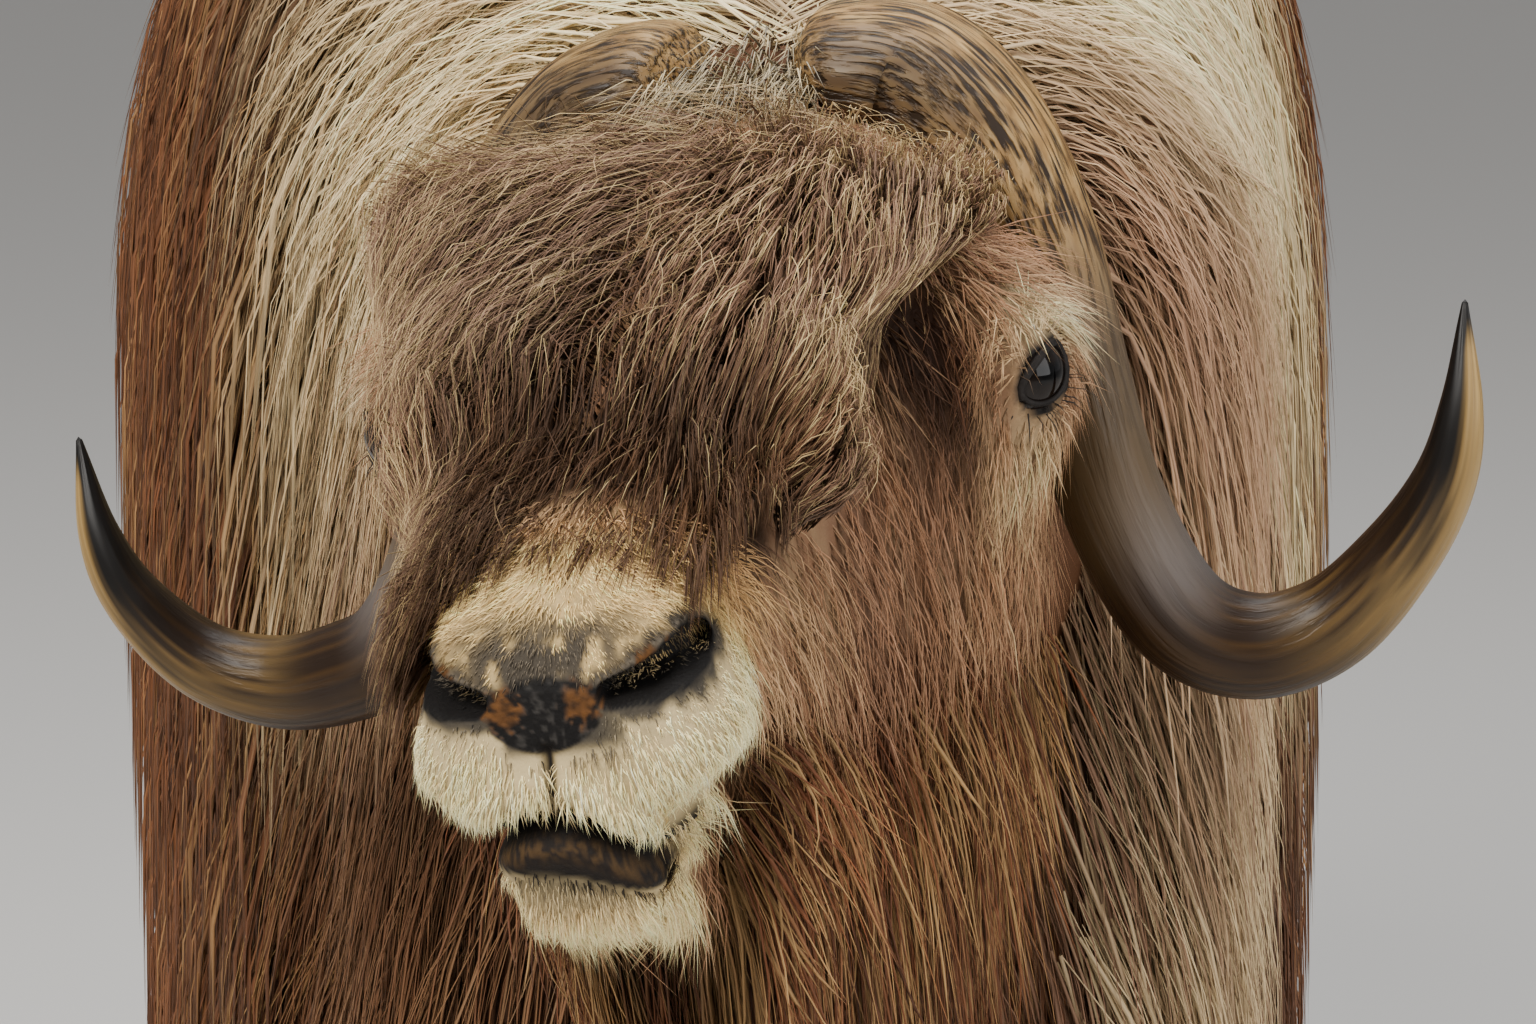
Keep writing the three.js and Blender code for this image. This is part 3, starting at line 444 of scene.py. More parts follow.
def build_strands(name, paths, outs, widths, root_colour, tip_colour, root_uv):
    """One mesh of tapered three-sided strands along paths of shape (count, steps, 3), in body
    millimetres. Each strand is open at its sunk root and pointed at its tip."""
    count, steps, _ = paths.shape
    rings = steps - 1
    run = unit(np.gradient(paths, axis=1))
    side = unit(np.cross(run, outs[:, None, :]))
    out = np.cross(side, run)
    taper = mix(1, 0.35, (np.arange(rings) / rings) ** 1.6)
    taper[0] = 0.75
    half = widths[:, None, None] * taper[None, :, None] / 2
    base = paths[:, :rings]
    aside, above = side[:, :rings] * half, out[:, :rings] * half * 0.7
    per = rings * STRAND_SIDES + 1
    points = np.empty((count, per, 3))
    points[:, :-1] = np.stack([base + aside, base + above, base - aside], axis=2).reshape(count, -1, 3)
    points[:, -1] = paths[:, -1]

    around = [(j, (j + 1) % STRAND_SIDES) for j in range(STRAND_SIDES)]
    top = (rings - 1) * STRAND_SIDES
    faces = [(a + j, a + STRAND_SIDES + j, a + STRAND_SIDES + k, a + k)
             for a in range(0, top, STRAND_SIDES) for j, k in around]
    faces += [(top + j, per - 1, top + k) for j, k in around]
    pattern = np.concatenate(faces)
    loops = (pattern[None, :] + np.arange(count)[:, None] * per).ravel()
    sizes = np.tile([len(face) for face in faces], count)
    starts = np.concatenate([[0], np.cumsum(sizes)[:-1]])

    mesh = bpy.data.meshes.new(name)
    mesh.vertices.add(count * per)
    mesh.vertices.foreach_set("co", to_scene(points.reshape(-1, 3)).astype(np.float32).ravel())
    mesh.loops.add(len(loops))
    mesh.loops.foreach_set("vertex_index", loops.astype(np.int32))
    mesh.polygons.add(len(sizes))
    mesh.polygons.foreach_set("loop_start", starts.astype(np.int32))
    mesh.polygons.foreach_set("use_smooth", np.ones(len(sizes), bool))

    along = np.concatenate([np.repeat(np.arange(rings) / rings, STRAND_SIDES), [1.0]])
    across = np.concatenate([np.tile(np.arange(STRAND_SIDES) / 2, rings), [0.5]])
    uv = root_uv[:, None] + PATCH * (join(across, along) - 0.5)
    layer = mesh.uv_layers.new(name="OFBake")
    layer.data.foreach_set("uv", uv.reshape(-1, 2)[loops].astype(np.float32).ravel())
    mesh.update()
    mesh.validate()
    piece = link_mesh(name, mesh, hair)
    colours = mix(root_colour[:, None], tip_colour[:, None], along[None, :, None])
    paint(piece, colours.reshape(-1, 3))
    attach(piece, "root")


def head_strands(name, paths, outs, *rest):
    """Strands whose paths are in the head's frame"""
    build_strands(name, from_head(paths), outs @ HEAD_TURN.T, *rest)


def shaded(colour, root, tip):
    """Colours of the roots and tips: the strand's own times a number each; a number under 1 at the root is
    painted shade inside the coat, one over 1 at the tip is painted light
    """
    return colour * root, np.clip(colour * tip, 0, 1)


def patch_at(u, v, edge):
    """Places on the unwrap, clear of its edges"""
    return join(u, v) * (1 - 2 * edge) + edge


def sized(count):
    return int(count * STRAND_SCALE)


def hashed(i, j, k=0.0):
    """A number from 0 to 1 that looks random, the same for the same three"""
    return (np.sin(i * 12.9898 + j * 78.233 + k * 37.719) * 43758.5453) % 1


def clump(a, b, wide, long, seed):
    """The lock that each place (a, b) belongs to: how far its middle lies, and its number"""
    row = np.floor(b / long)
    shift = hashed(row, seed)
    column = np.floor(a / wide + shift)
    middle = (column - shift + 0.5 + 0.5 * (hashed(column, row, seed + 1) - 0.5)) * wide
    return middle - a, (row + 0.5) * long - b, hashed(row, column, seed)


def vary(colour, spread):
    """Each strand a little lighter or darker"""
    return np.clip(colour * np.exp(rng.normal(0, spread, len(colour)))[:, None], 0, 1)


def layered(count, share, wide, thin):
    """Widths of broad strands under thin ones, and which are broad"""
    broad = rng.random(count) < share
    return np.where(broad, rng.uniform(*wide, count), rng.uniform(*thin, count)), broad


def strand_steps(steps):
    """Places along a strand from its root, 0, to its tip, 1"""
    return np.linspace(0, 1, steps)[None, :]


# The long coat of the body

STRAND_STEPS, BODY_STEPS = 5, 4
HANG = 560
LIE = 45


def body_markings(p):
    """Colour of the body's coat at points in body millimetres"""
    x, y, z = split(p)
    streak = noise(p * (1, 1, 0.10), 24, 1)
    broad = noise(p * (1, 1, 0.3), 130, 2)
    saddle = smooth(1040, 1140, z) * smooth(-160, 0, y) * smooth(420, 300, y)
    colour = layers(
        BROWN,
        (BROWN_RED, np.clip(1.2 * streak - 0.2, 0, 1)),
        (TAN, 0.5 * smooth(0.62, 0.85, streak)),
        (BROWN_DARK, 0.6 * smooth(0.55, 0.85, broad) * smooth(0.7, 0.4, streak)),
        (CREAM, 0.9 * saddle * smooth(0.1, 0.4, streak)),
    )
    colour = colour * (1 - 0.3 * smooth(-300, -460, y))[..., None]
    edge = y + 110 * (broad - 0.5) + mix(75, -110, smooth(-100, 100, x)) + 120 * (streak - 0.5)
    front = smooth(-440, -600, edge) * smooth(690, 860, z + 160 * (streak - 0.5)) * smooth(-215, -185, x)
    return layers(
        colour,
        (CREAM, 0.9 * front * smooth(0.12, 0.42, streak + 0.15 * broad)),
        (BROWN_DARK, 0.35 * smooth(520, 330, z)),
    )


def coat_strands(name, count, place, u_range, length_range, width):
    """Strands over one stretch of the body. place draws the root's y and heading."""
    count = sized(count)
    y0, heading = place(count)
    u0 = mix(*u_range, rng.random(count))
    length = rng.uniform(*length_range, count)
    side = np.abs(np.cos(heading))
    arc = y0 + heading * RUMP_REACH
    to_arc, _, number = clump(arc, u0 * HANG, 46, 95, 3)
    to_fine, _, fine = clump(arc, u0 * HANG, 17, 50, 5)
    s = strand_steps(BODY_STEPS)
    end = 2.03 - 0.2 * rng.random(count) ** 2 - 0.07 * number
    span = np.minimum(length / HANG, np.maximum(end - u0, 0.1))
    u = u0[:, None] + span[:, None] * s
    pull = rng.uniform(0.15, 0.75, count) * to_arc + 0.35 * to_fine
    swing = 34 * (number - 0.5) + 16 * (fine - 0.5) + rng.normal(0, 5, count)
    bend = rng.normal(0, 4, (count, 1)) * np.sin(TAU * (0.9 * s + number[:, None]))
    slide = pull[:, None] * s ** 1.3 + swing[:, None] * s ** 1.6 + bend * s
    lean = LIE * span[:, None] * s * (1.3 - 0.5 * u)
    y = y0[:, None] + (lean + slide) * side[:, None]
    turn = heading[:, None] + slide * (1 - side[:, None]) / RUMP_REACH
    widths, broad = layered(count, 0.35, (1.3 * width, 2.1 * width), (0.35 * width, 0.75 * width))
    depth = rng.uniform(0, 44, count) + 8 * broad
    lift = 7 * (number - 0.5) + 5 * (fine - 0.5)
    inset = mix(SKIN_INSET + 8, np.maximum(depth + lift, 1)[:, None], 1 - (1 - s) ** 2.4)
    paths = coat_point(y, turn, u, inset)
    paths[..., 0] -= np.sign(np.cos(heading))[:, None] * 16 * smooth(0.25, 0.0, u0)[:, None]
    _, near_y, near_z = split(paths[:, 2])
    outs = unit(paths[:, 2] - join(0, np.clip(near_y, NECK_BASE, RUMP_BASE), near_z - 120))
    base = body_markings(mix(paths[:, 0], paths[:, -1], 0.5))
    # Locks differ in tone at random; strands that lie deeper in the coat are darker, painted shade under the
    # outer strands
    tone = (0.84 + 0.26 * number + 0.14 * fine) * (1.12 - 0.42 * depth / 52)
    base = vary(base * tone[:, None], 0.1)
    uv = patch_at((arc - arc.min()) / (np.ptp(arc) + 1), u0 / 2, 0.01)
    build_strands(name, paths, outs, widths, *shaded(base, 0.5, 1.2), uv)


def along_side(from_y, to_y, mirror):
    def place(count):
        y = rng.uniform(from_y, to_y, count)
        return y, np.full(count, math.pi if mirror else 0.0)
    return place


def round_rump(mirror):
    straight = 60
    arc = math.pi / 2 * RUMP_REACH * 1.08

    def place(count):
        at = rng.uniform(0, straight + arc, count)
        turn = np.maximum(0, at - straight) / arc * math.pi / 2
        y = np.minimum(RUMP_BASE, RUMP_BASE - straight + at)
        return y, (math.pi - turn if mirror else turn)
    return place


def round_chest(count):
    return np.full(count, float(NECK_BASE)), -math.pi * rng.uniform(0.02, 0.98, count)


def grow_body():
    for label, side in SIDES:
        for part, count, place, u_end, length_range, width in (
            ("shoulder", 5000, along_side(-600, -150, side < 0), 1.55, (170, 330), 5.4),
            ("flank", 3900, along_side(-165, 440, side < 0), 1.5, (200, 360), 7.5),
            ("rump", 3700, round_rump(side < 0), 1.5, (180, 340), 7.5),
        ):
            coat_strands(f"coat_{part}_{label}", count, place, (0.0, u_end), length_range, width)
    coat_strands("coat_chest", 1600, round_chest, (0.4, 1.5), (200, 340), 6.0)


# The mane on the neck

NECK_RUN, MANE_HANG = 240, 500


def grow_mane(label, side):
    """Long hair of the neck, which hangs down and a little forward"""
    count = sized(6000)
    t0 = rng.uniform(-0.12, 1.15, count)
    u0 = rng.uniform(0.0, 1.5, count) ** 1.05
    length = rng.uniform(140, 300, count)
    to_t, _, number = clump(t0 * NECK_RUN, u0 * MANE_HANG, 34, 80, 7)
    to_fine, _, fine = clump(t0 * NECK_RUN, u0 * MANE_HANG, 12, 40, 8)
    s = strand_steps(STRAND_STEPS)
    end = 2.03 - 0.25 * rng.random(count) ** 2
    span = np.minimum(length / 520, np.maximum(end - u0, 0.1))
    u = u0[:, None] + span[:, None] * s
    pull = rng.uniform(0.1, 0.7, count) * to_t + 0.3 * to_fine
    swing = 36 * (number - 0.5) + 14 * (fine - 0.5) + rng.normal(0, 5, count)
    wave = 7 * np.sin(TAU * (0.75 * s + number[:, None])) * s
    slide = pull[:, None] * s ** 1.3 + swing[:, None] * s ** 1.6 + wave
    t = t0[:, None] - 0.34 * span[:, None] * s + slide / NECK_RUN
    widths, broad = layered(count, 0.3, (3.0, 5.0), (0.8, 1.8))
    depth = rng.uniform(0, 36, count) + 9 * broad
    lift = 9 * (number - 0.5) + 5 * (fine - 0.5)
    inset = mix(54, np.maximum(depth + lift, -2)[:, None], 1 - (1 - s) ** 2.4)
    inset = inset + 95 * smooth(0.96, 1.15, t0)[:, None]
    paths = mane_point(np.clip(t, 0, 1), u, side, inset)
    paths[..., 1] -= 150 * np.minimum(0, t) + 130 * np.maximum(0, t - 1)
    paths[..., 0] -= side * 14 * smooth(0.3, 0.0, u0)[:, None]
    outs = unit(paths[:, 2] - mane_point(t[:, 2], u[:, 2], side, inset[:, 2] + 120))
    # Locks differ in tone at random; strands that lie deeper in the mane are darker, painted shade under the
    # outer strands
    tone = (0.92 + 0.16 * number + 0.1 * fine) * (1.12 - 0.3 * depth / 44)
    base = vary(mane_colour(mix(paths[:, 0], paths[:, -1], 0.5), t0) * tone[:, None], 0.08)
    uv = patch_at((t0 + 0.15) / 1.35, u0 / 2, 0.01)
    build_strands(f"coat_neck_{label}", paths, outs, widths, *shaded(base, 0.82, 1.1), uv)


def mane_colour(p, t0):
    """Cream above, browner below, pinkish behind the cheek, brown at the far edge"""
    x, y, z = split(p)
    streak = noise(join(t0 * NECK_RUN, z * 0.12, x * 0.1), 17, 4)
    broad = noise(p * (1, 1, 0.4), 75, 5)
    jitter = 70 * (streak - 0.5) + 40 * (broad - 0.5)
    upper = smooth(820, 1060, z)
    lower = smooth(880, 730, z + 160 * (streak - 0.5))
    inner = smooth(12, -22, x - 178 - 0.42 * np.clip(1007 - z, 0, 160) + jitter) * smooth(60, 110, x)
    band = ridge(x - 174 - 0.23 * (z - 599) + 0.6 * jitter, 20) * smooth(870, 800, z)
    return layers(
        CREAM_PALE,
        (mix(TAN, CREAM, 0.45), (1 - 0.5 * upper) * smooth(0.3, 0.6, streak)),
        (BROWN_PINK, (0.85 - 0.4 * upper) * smooth(0.58, 0.78, streak)),
        (BROWN_PINK, 0.6 * smooth(0.45, 0.75, broad) * (1 - upper)),
        (blend(BROWN, BROWN_PINK, 0.4 * smooth(-60, 60, x)), 0.88 * lower),
        (MANE_PINK, 0.75 * inner * smooth(1060, 960, z) * (1 - lower)),
        (CREAM, 0.7 * band),
        (body_markings(p), smooth(-685, -625, y) * smooth(60, -60, x)),
        (
            blend(BROWN * 0.54, TAN, 0.8 * smooth(0.6, 0.78, streak)),
            0.9 * smooth(-168, -204, x + 0.5 * jitter),
        ),
    )


# The head

EYE_AT = np.array([138.5, -141.0, -37.5])
EYE_AXIS = unit(np.array([0.845, -0.53, 0.06]))
EYE_RADIUS = 19
EYE_CENTRE = EYE_AT - EYE_AXIS * EYE_RADIUS
EYE_WIDE, EYE_HIGH = 12.6, 9.4
EYE_TILT = math.radians(28)
DOME_ROWS, HEAD_ROWS, HEAD_COLUMNS = 26, 226, 220
HEAD_FRONT, HEAD_END = -405.0, 110.0
MOUTH_FRONT, MOUTH_DROP, MOUTH_CORNER, MOUTH_SKEW = -111, 40, 58, 0.2
FLESH_INSET = 4
CHEEK_SWELL = ((100, -120, -110), (50, 80, 60))
NOSTRIL_LINE = np.array([
    [24.0, -402.0, -72.0], [36.0, -396.0, -70.5], [47.0, -384.0, -66.5], [56.0, -362.0, -61.5],
])
NOSTRIL_RADIUS = (5.0, 7.2, 8.4, 7.5)
ORANGE_SPOTS = ((14, -402, -74, 7.5), (37, -394, -63, 5.5), (45, -386, -61, 4))
WOOL_RECESS = 0.24


def both(p):
    """The point mirrored to the left side"""
    return np.concatenate([np.abs(p[..., :1]), p[..., 1:]], -1)


def side_of(x):
    return np.where(x < 0, -1.0, 1.0)


def lip_height(p):
    """Height above the edge of the upper lip, which sags a little to the left"""
    x, _, z = split(p)
    return z - MOUTH_FRONT + MOUTH_SKEW * x + MOUTH_DROP * (np.abs(x) / MOUTH_CORNER) ** 1.75


def sculpt(p):
    """How far the head's skin stands out from its plain form, in millimetres"""
    q = both(p)
    x, y, z = split(q)
    out = 40 * bump_at(q, (98, -118, -36), (60, 52, 44))
    out += 10 * bump_at(q, *CHEEK_SWELL)
    out += 7 * bump_at(q, (46, -376, -98), (26, 34, 20))
    out += 5 * bump_at(q, (46, -385, -56), (20, 22, 14))
    out -= 19 * smooth(-98, -130, z) * smooth(-235, -320, y) * smooth(18, 44, x)
    out -= 7 * smooth(-150, -172, z) * smooth(-300, -345, y)
    front = smooth(-296, -340, y)
    lips = lip_height(p)
    inside = smooth(MOUTH_CORNER + 16, MOUTH_CORNER, x) * front
    middle = smooth(48, 30, x)
    out += 3.5 * ridge(lips - 9, 7) * inside
    out += 4.0 * ridge(lips + 16, 8) * inside * middle
    out -= (5 + 10 * middle) * ridge(lips + 4, mix(2.0, 5.0, middle)) * inside
    return out - 3.5 * ridge(x, 2.4) * smooth(-112, -106, z) * smooth(-84, -90, z) * front


def nostril_distance(q):
    """Distance from the nostril's line over its radius there"""
    best = np.full(q.shape[:-1], 99.0)
    for i in range(len(NOSTRIL_LINE) - 1):
        a, run = NOSTRIL_LINE[i], NOSTRIL_LINE[i + 1] - NOSTRIL_LINE[i]
        t = np.clip(np.sum((q - a) * run, -1) / np.sum(run * run), 0, 1)
        away = np.linalg.norm(q - a - t[..., None] * run, axis=-1)
        best = np.minimum(best, away / mix(NOSTRIL_RADIUS[i], NOSTRIL_RADIUS[i + 1], t))
    return best


def above_nostril(q):
    """1 above the height of the nostril's line"""
    return smooth(-0.4, 0.1, q[..., 2] - np.interp(q[..., 0], NOSTRIL_LINE[:, 0], NOSTRIL_LINE[:, 2]))


def head_grid():
    """Points of the head's plain form in rows from the muzzle's dome to the neck, and their normals"""
    y = mix(HEAD_FRONT, HEAD_END, np.linspace(0, 1, HEAD_ROWS) ** 1.35)
    angle = np.linspace(0, TAU, HEAD_COLUMNS, endpoint=False)
    p = head_point(*np.meshgrid(y, angle, indexing="ij"), -FLESH_INSET)
    middle = p[0].mean(0)
    shrink = np.linspace(0.03, 1, DOME_ROWS, endpoint=False)[:, None, None]
    dome = middle + (p[0] - middle) * shrink
    dome[..., 1] = HEAD_FRONT - 3.5 * (1 - shrink[..., 0] ** 2)
    p = np.concatenate([dome, p])
    axis = join(0, np.clip(p[..., 1] + 60, -335, 60), -85)
    normal = unit(np.cross(np.roll(p, -1, 1) - np.roll(p, 1, 1), np.gradient(p, axis=0)))
    inward = np.sum(normal * (p - axis), -1, keepdims=True) < 0
    return p, np.where(inward, -normal, normal)


def tilted(across, up):
    """The opening's long way and its upright, its front corner lower than its back one"""
    c, s = math.cos(EYE_TILT), math.sin(EYE_TILT)
    return across * c + up * s, up * c - across * s


def eye_frame(axis):
    across = unit(np.cross(-DOWN, axis))
    return across, np.cross(axis, across)


EYE_ACROSS, EYE_UP = tilted(*eye_frame(EYE_AXIS))


def eye_place(q):
    """How far round the eye a point lies, 1 on the rim of the lids, and in front of it or not"""
    gap = q - EYE_CENTRE
    a, b = np.sum(gap * EYE_ACROSS, -1), np.sum(gap * EYE_UP, -1)
    high = np.where(b > 0, EYE_HIGH * 0.85, EYE_HIGH)
    return np.hypot(a / EYE_WIDE, b / high), np.sum(gap * EYE_AXIS, -1)


def open_eye(q):
    """Draws the skin to a shell round the eyeball, and into the socket between the lids"""
    gap = unit(q - EYE_CENTRE)
    round_eye, front = eye_place(q)
    ahead = smooth(-2, 4, front)
    q = blend(q, EYE_CENTRE + gap * (EYE_RADIUS + 2.0), smooth(2.6, 1.4, round_eye) * ahead)
    return blend(q, EYE_CENTRE + gap * (EYE_RADIUS - 6.0), smooth(1.12, 0.96, round_eye) * ahead)


def head_skin():
    """Points of the head's skin, and the same before the nostrils and eyes were opened"""
    p, normal = head_grid()
    p = p + normal * sculpt(p)[..., None]
    q = both(p)
    hole = smooth(1.05, 0.6, nostril_distance(q))
    q = open_eye(q + hole[..., None] * 26 * unit(np.array([-0.2, 1.0, 0.1])))
    q[..., 0] *= side_of(p[..., 0])
    return q, p


def nose_pad(q):
    """1 on the bare pad between the nostrils"""
    x, y, z = split(q)
    low_edge = -90 + 0.022 * x * x
    top_edge = -63 - 0.012 * x * x
    pad = smooth(22, 19, x) * smooth(top_edge + 1.5, top_edge - 1.5, z)
    return pad * smooth(low_edge - 1.5, low_edge + 1.5, z) * smooth(-378, -388, y)


def lower_lip(p, extra=0.0):
    """1 on the bare skin of the lower lip, or that much further down too"""
    lips = lip_height(p)
    x = np.abs(p[..., 0] - 2)
    low_edge = -23 - extra + 12 * (x / 34) ** 2
    lip = smooth(1, -2, lips) * smooth(low_edge - 1.5, low_edge + 1.5, lips)
    return lip * smooth(42, 32, x) * smooth(-350, -368, p[..., 1])


def head_colour(p):
    """Markings of the face at points in the head's frame, with painted shade in the eye's recess, under the
    wool's ledge, in folds on the bridge, under the lower lip and in the mouth
    """
    q = both(p)
    x, y, z = split(q)
    streak = noise(p * (1, 1, 0.22), 6, 6)
    broad = noise(p * (1, 1, 0.5), 34, 7)
    grain = noise(p, 1.6, 15)
    # socket marks the hollow round the eye before the wool; it is painted dark brown as painted shade in the
    # recess
    socket = bump_at(q, (96, -170, -10), (26, 34, 34)) + 0.45 * bump_at(q, (110, -170, -66), (12, 14, 40))
    edge = y + 10 * (broad - 0.5) + 0.04 * (z + 110) - 16 * ridge(z + 124, 26)
    muzzle = smooth(-330, -341, edge)
    # ledge: the band under the front edge of the forehead's wool, painted dark as the painted shadow of the
    # wool's ledge
    ledge = smooth(-326, -312, y + 8 * (streak - 0.5)) * smooth(-72, -50, z)
    # fold: patches on the top of the bridge, painted a darker tan: tan hair with painted shade in its folds
    fold = muzzle * smooth(-70, -50, z) * smooth(0.5, 0.72, 0.6 * broad + 0.4 * streak)
    near = nostril_distance(q)
    rim = smooth(2.1, 1.2, near + 0.9 * (streak - 0.5))
    above_pad = smooth(44, 14, x) * smooth(-38, -58, z) * smooth(-366, -386, y) * smooth(-92, -84, z)
    # under_lip: a band just under the lower lip, painted grey as painted shade beneath the lip
    under_lip = smooth(30, 8, x) * ridge(p[..., 2] + 139, 9) * smooth(-370, -380, y)
    dark = np.maximum(np.maximum(rim, above_pad * smooth(0.22, 0.5, streak)), 0.4 * under_lip)
    round_eye, before = eye_place(q)
    colour = layers(
        CHEEK,
        (BROWN_PINK, np.clip(1.4 * streak - 0.2, 0, 1) * 0.6),
        (CHEEK_LIGHT, 0.8 * smooth(0.4, 0.7, streak * 0.5 + broad * 0.5)),
        (BROWN_RED, 0.5 * smooth(-110, -190, z) * smooth(-330, -280, y)),
        (BROWN_DARK, np.clip(1.15 * socket, 0, 1)),
        (BROWN_RED, 0.6 * bump_at(q, (122, -150, -8), (20, 22, 20))),
        (CREAM_PALE, np.clip(1.4 * bump_at(q, (142, -128, -8), (18, 28, 18)), 0, 1)),
        (BELOW_EYE, np.clip(1.3 * bump_at(q, (134, -142, -68), (22, 26, 16)), 0, 1)),
        (TAN, 0.6 * smooth(-310, -328, edge) * smooth(-90, -40, z)),
        (BROWN_DARK, 0.96 * ledge * smooth(-250, -290, y)),
        (LIP_CREAM, muzzle),
        (BRIDGE_TAN, muzzle * smooth(-82, -58, z)),
        (TAN * 0.8, 0.6 * fold),
        (TAN, 0.7 * bump_at(q, (48, -330, -46), (22, 14, 22))),
        (CHIN_TAN, muzzle * smooth(-134, -150, z)),
        (BROWN_RED, 0.85 * smooth(33, 42, x) * smooth(-126, -138, z) * smooth(-390, -380, y)),
        (GREY * 0.7, 0.95 * (1 - (1 - dark) ** 2)),
        (BLACK * 0.4, smooth(1.3, 1.1, near)),
        (LID_DARK, smooth(1.5, 1.25, round_eye + 0.3 * (streak - 0.5)) * smooth(0, 4, before)),
    )
    pad_colour = blend(BLACK * 0.3, GREY * 0.34, smooth(0.5, 0.8, grain))
    rust = ORANGE * (0.25 + 0.65 * grain)[..., None]
    for *at, size in ORANGE_SPOTS:
        spot = smooth(0.25, 0.65, bump_at(q, at, (size,) * 3) + 0.6 * (grain - 0.5))
        pad_colour = blend(pad_colour, rust, spot)
        colour = blend(colour, rust, spot * (1 - smooth(1.1, 1.0, near)))
    lips = lip_height(p)
    lip_skin = blend(LIP_BLACK, LIP_BROWN, 0.8 * smooth(0.35, 0.7, grain) * smooth(-21, -11, lips))
    # gap: the mouth's opening between the lips, painted black as painted shade
    gap = ridge(lips + 4.5, 5.4) * smooth(MOUTH_CORNER - 6, MOUTH_CORNER - 18, x) * smooth(-330, -350, y)
    cleft = ridge(x, 2.0) * smooth(-112, -106, z) * smooth(-84, -90, z) * smooth(-380, -390, y)
    return layers(
        colour,
        (pad_colour, nose_pad(q)),
        (lip_skin, lower_lip(p, 2.5)),
        (BLACK * 0.5, np.clip(1.6 * gap, 0, 1)),
        (BLACK, np.clip(cleft, 0, 1)),
    )


def clear_of_eye(q):
    round_eye, front = eye_place(q)
    return 1 - smooth(1.34, 1.2, round_eye) * smooth(0, 4, front)


def wool_recess(y, z):
    """1 where the wool draws in ahead of the eye"""
    return smooth(26, -6, z) * smooth(-262, -228, y) * smooth(-70, -120, y)


def under_wool(q):
    """1 where the wool of the forehead hides the skin"""
    x, y, z = split(q)
    inside = smooth(-308, -296, y) * smooth(0, -14, y)
    half = wool("half", y) * (1 - WOOL_RECESS * wool_recess(y, z))
    return inside * smooth(-2, 16, z - wool("low", y)) * smooth(-6, -18, x - half)


def bare(p):
    """0 where the head grows no hair of its own: nostrils, pad, lips, eyes, and under the wool"""
    q = both(p)
    keep = smooth(1.1, 1.25, nostril_distance(q) - 0.25 * above_nostril(q))
    keep = keep * clear_of_eye(q) * (1 - under_wool(q))
    gap = ridge(lip_height(p) + 4, 4.5) * smooth(50, 42, q[..., 0]) * smooth(-325, -340, p[..., 1])
    return np.clip(keep - nose_pad(q) - 1.4 * gap - lower_lip(p), 0, 1)


# The skin

# Legs: height, shift along the body, half width, half depth
FRONT_ROWS = (
    (660, 0, 84, 110), (540, 0, 74, 95), (435, 4, 60, 76), (360, 6, 50, 60), (300, 2, 46, 52),
    (240, 2, 40, 43), (170, 2, 35, 38), (104, -2, 43, 47), (58, -13, 52, 56),
)
HIND_ROWS = (
    (660, -60, 92, 125), (540, -30, 78, 108), (435, 10, 58, 78), (370, 40, 47, 62), (320, 50, 43, 58),
    (260, 42, 38, 46), (170, 24, 34, 38), (104, 9, 43, 47), (58, -6, 52, 56),
)
LEGS = (("front", FRONT_ROWS, FRONT_LEG), ("hind", HIND_ROWS, HIND_LEG))

# The short tail, downwards: y, height, half width, half thickness
TAIL_ROWS = (
    (640, 1060, 42, 32), (690, 1040, 40, 28), (745, 1010, 38, 24), (780, 950, 36, 18), (792, 880, 26, 13),
)
TRUNK_COLUMNS, RUMP_COLUMNS = 40, 22
NECK_ROWS, NECK_COLUMNS = 14, 40
VOXEL = 0.011


def trunk_rings():
    """Rings from the spine over the widest line and in under the belly"""
    y_side = np.linspace(NECK_BASE, RUMP_BASE, TRUNK_COLUMNS)
    turn = np.linspace(0, math.pi, RUMP_COLUMNS + 2)[1:-1]
    round_end = np.full(RUMP_COLUMNS, 1)
    y = np.concatenate([y_side, RUMP_BASE * round_end, y_side[::-1], NECK_BASE * round_end])
    heading = np.concatenate([0 * y_side, turn, 0 * y_side + math.pi, math.pi + turn])
    rings = [coat_point(y, heading, np.full(len(y), u), SKIN_INSET) for u in np.linspace(0.02, 1, 18)]
    rings += [belly_point(y, heading, np.full(len(y), v), SKIN_INSET) for v in np.linspace(0.1, 0.98, 12)]
    return np.array(rings)


def neck_rings(inset=6):
    """Rings along the neck's flesh, and past its end into the head"""
    t = np.linspace(0, 1.15, NECK_ROWS)[:, None]
    at, past = np.minimum(t, 1), np.maximum(0, t - 1)
    across, up = rounded(np.linspace(0, TAU, NECK_COLUMNS, endpoint=False), 2.3)
    across = across * (neck("half", at) - inset)
    top, bottom = neck("top", at) - inset, neck("bottom", at) + inset
    turn = np.radians(neck("turn", at))
    x = neck("x", at) - 60 * past + across * np.cos(turn)
    y = neck("y", at) - 170 * past + across * np.sin(turn)
    return join(x, y, (top + bottom) / 2 + up * (top - bottom) / 2)


def leg_rings(rows, base, side, steps=40, columns=28):
    leg = row_table(rows[::-1], ("z", "y", "wide", "deep"))
    z = np.linspace(rows[-1][0] + 1, rows[0][0], steps)[:, None]
    across, along = rounded(np.linspace(0, TAU, columns, endpoint=False), 2.2)
    x = side * LEG_SPREAD + (leg("wide", z) - FLESH_INSET) * across
    return join(x, base + leg("y", z) + (leg("deep", z) - FLESH_INSET) * along, z)


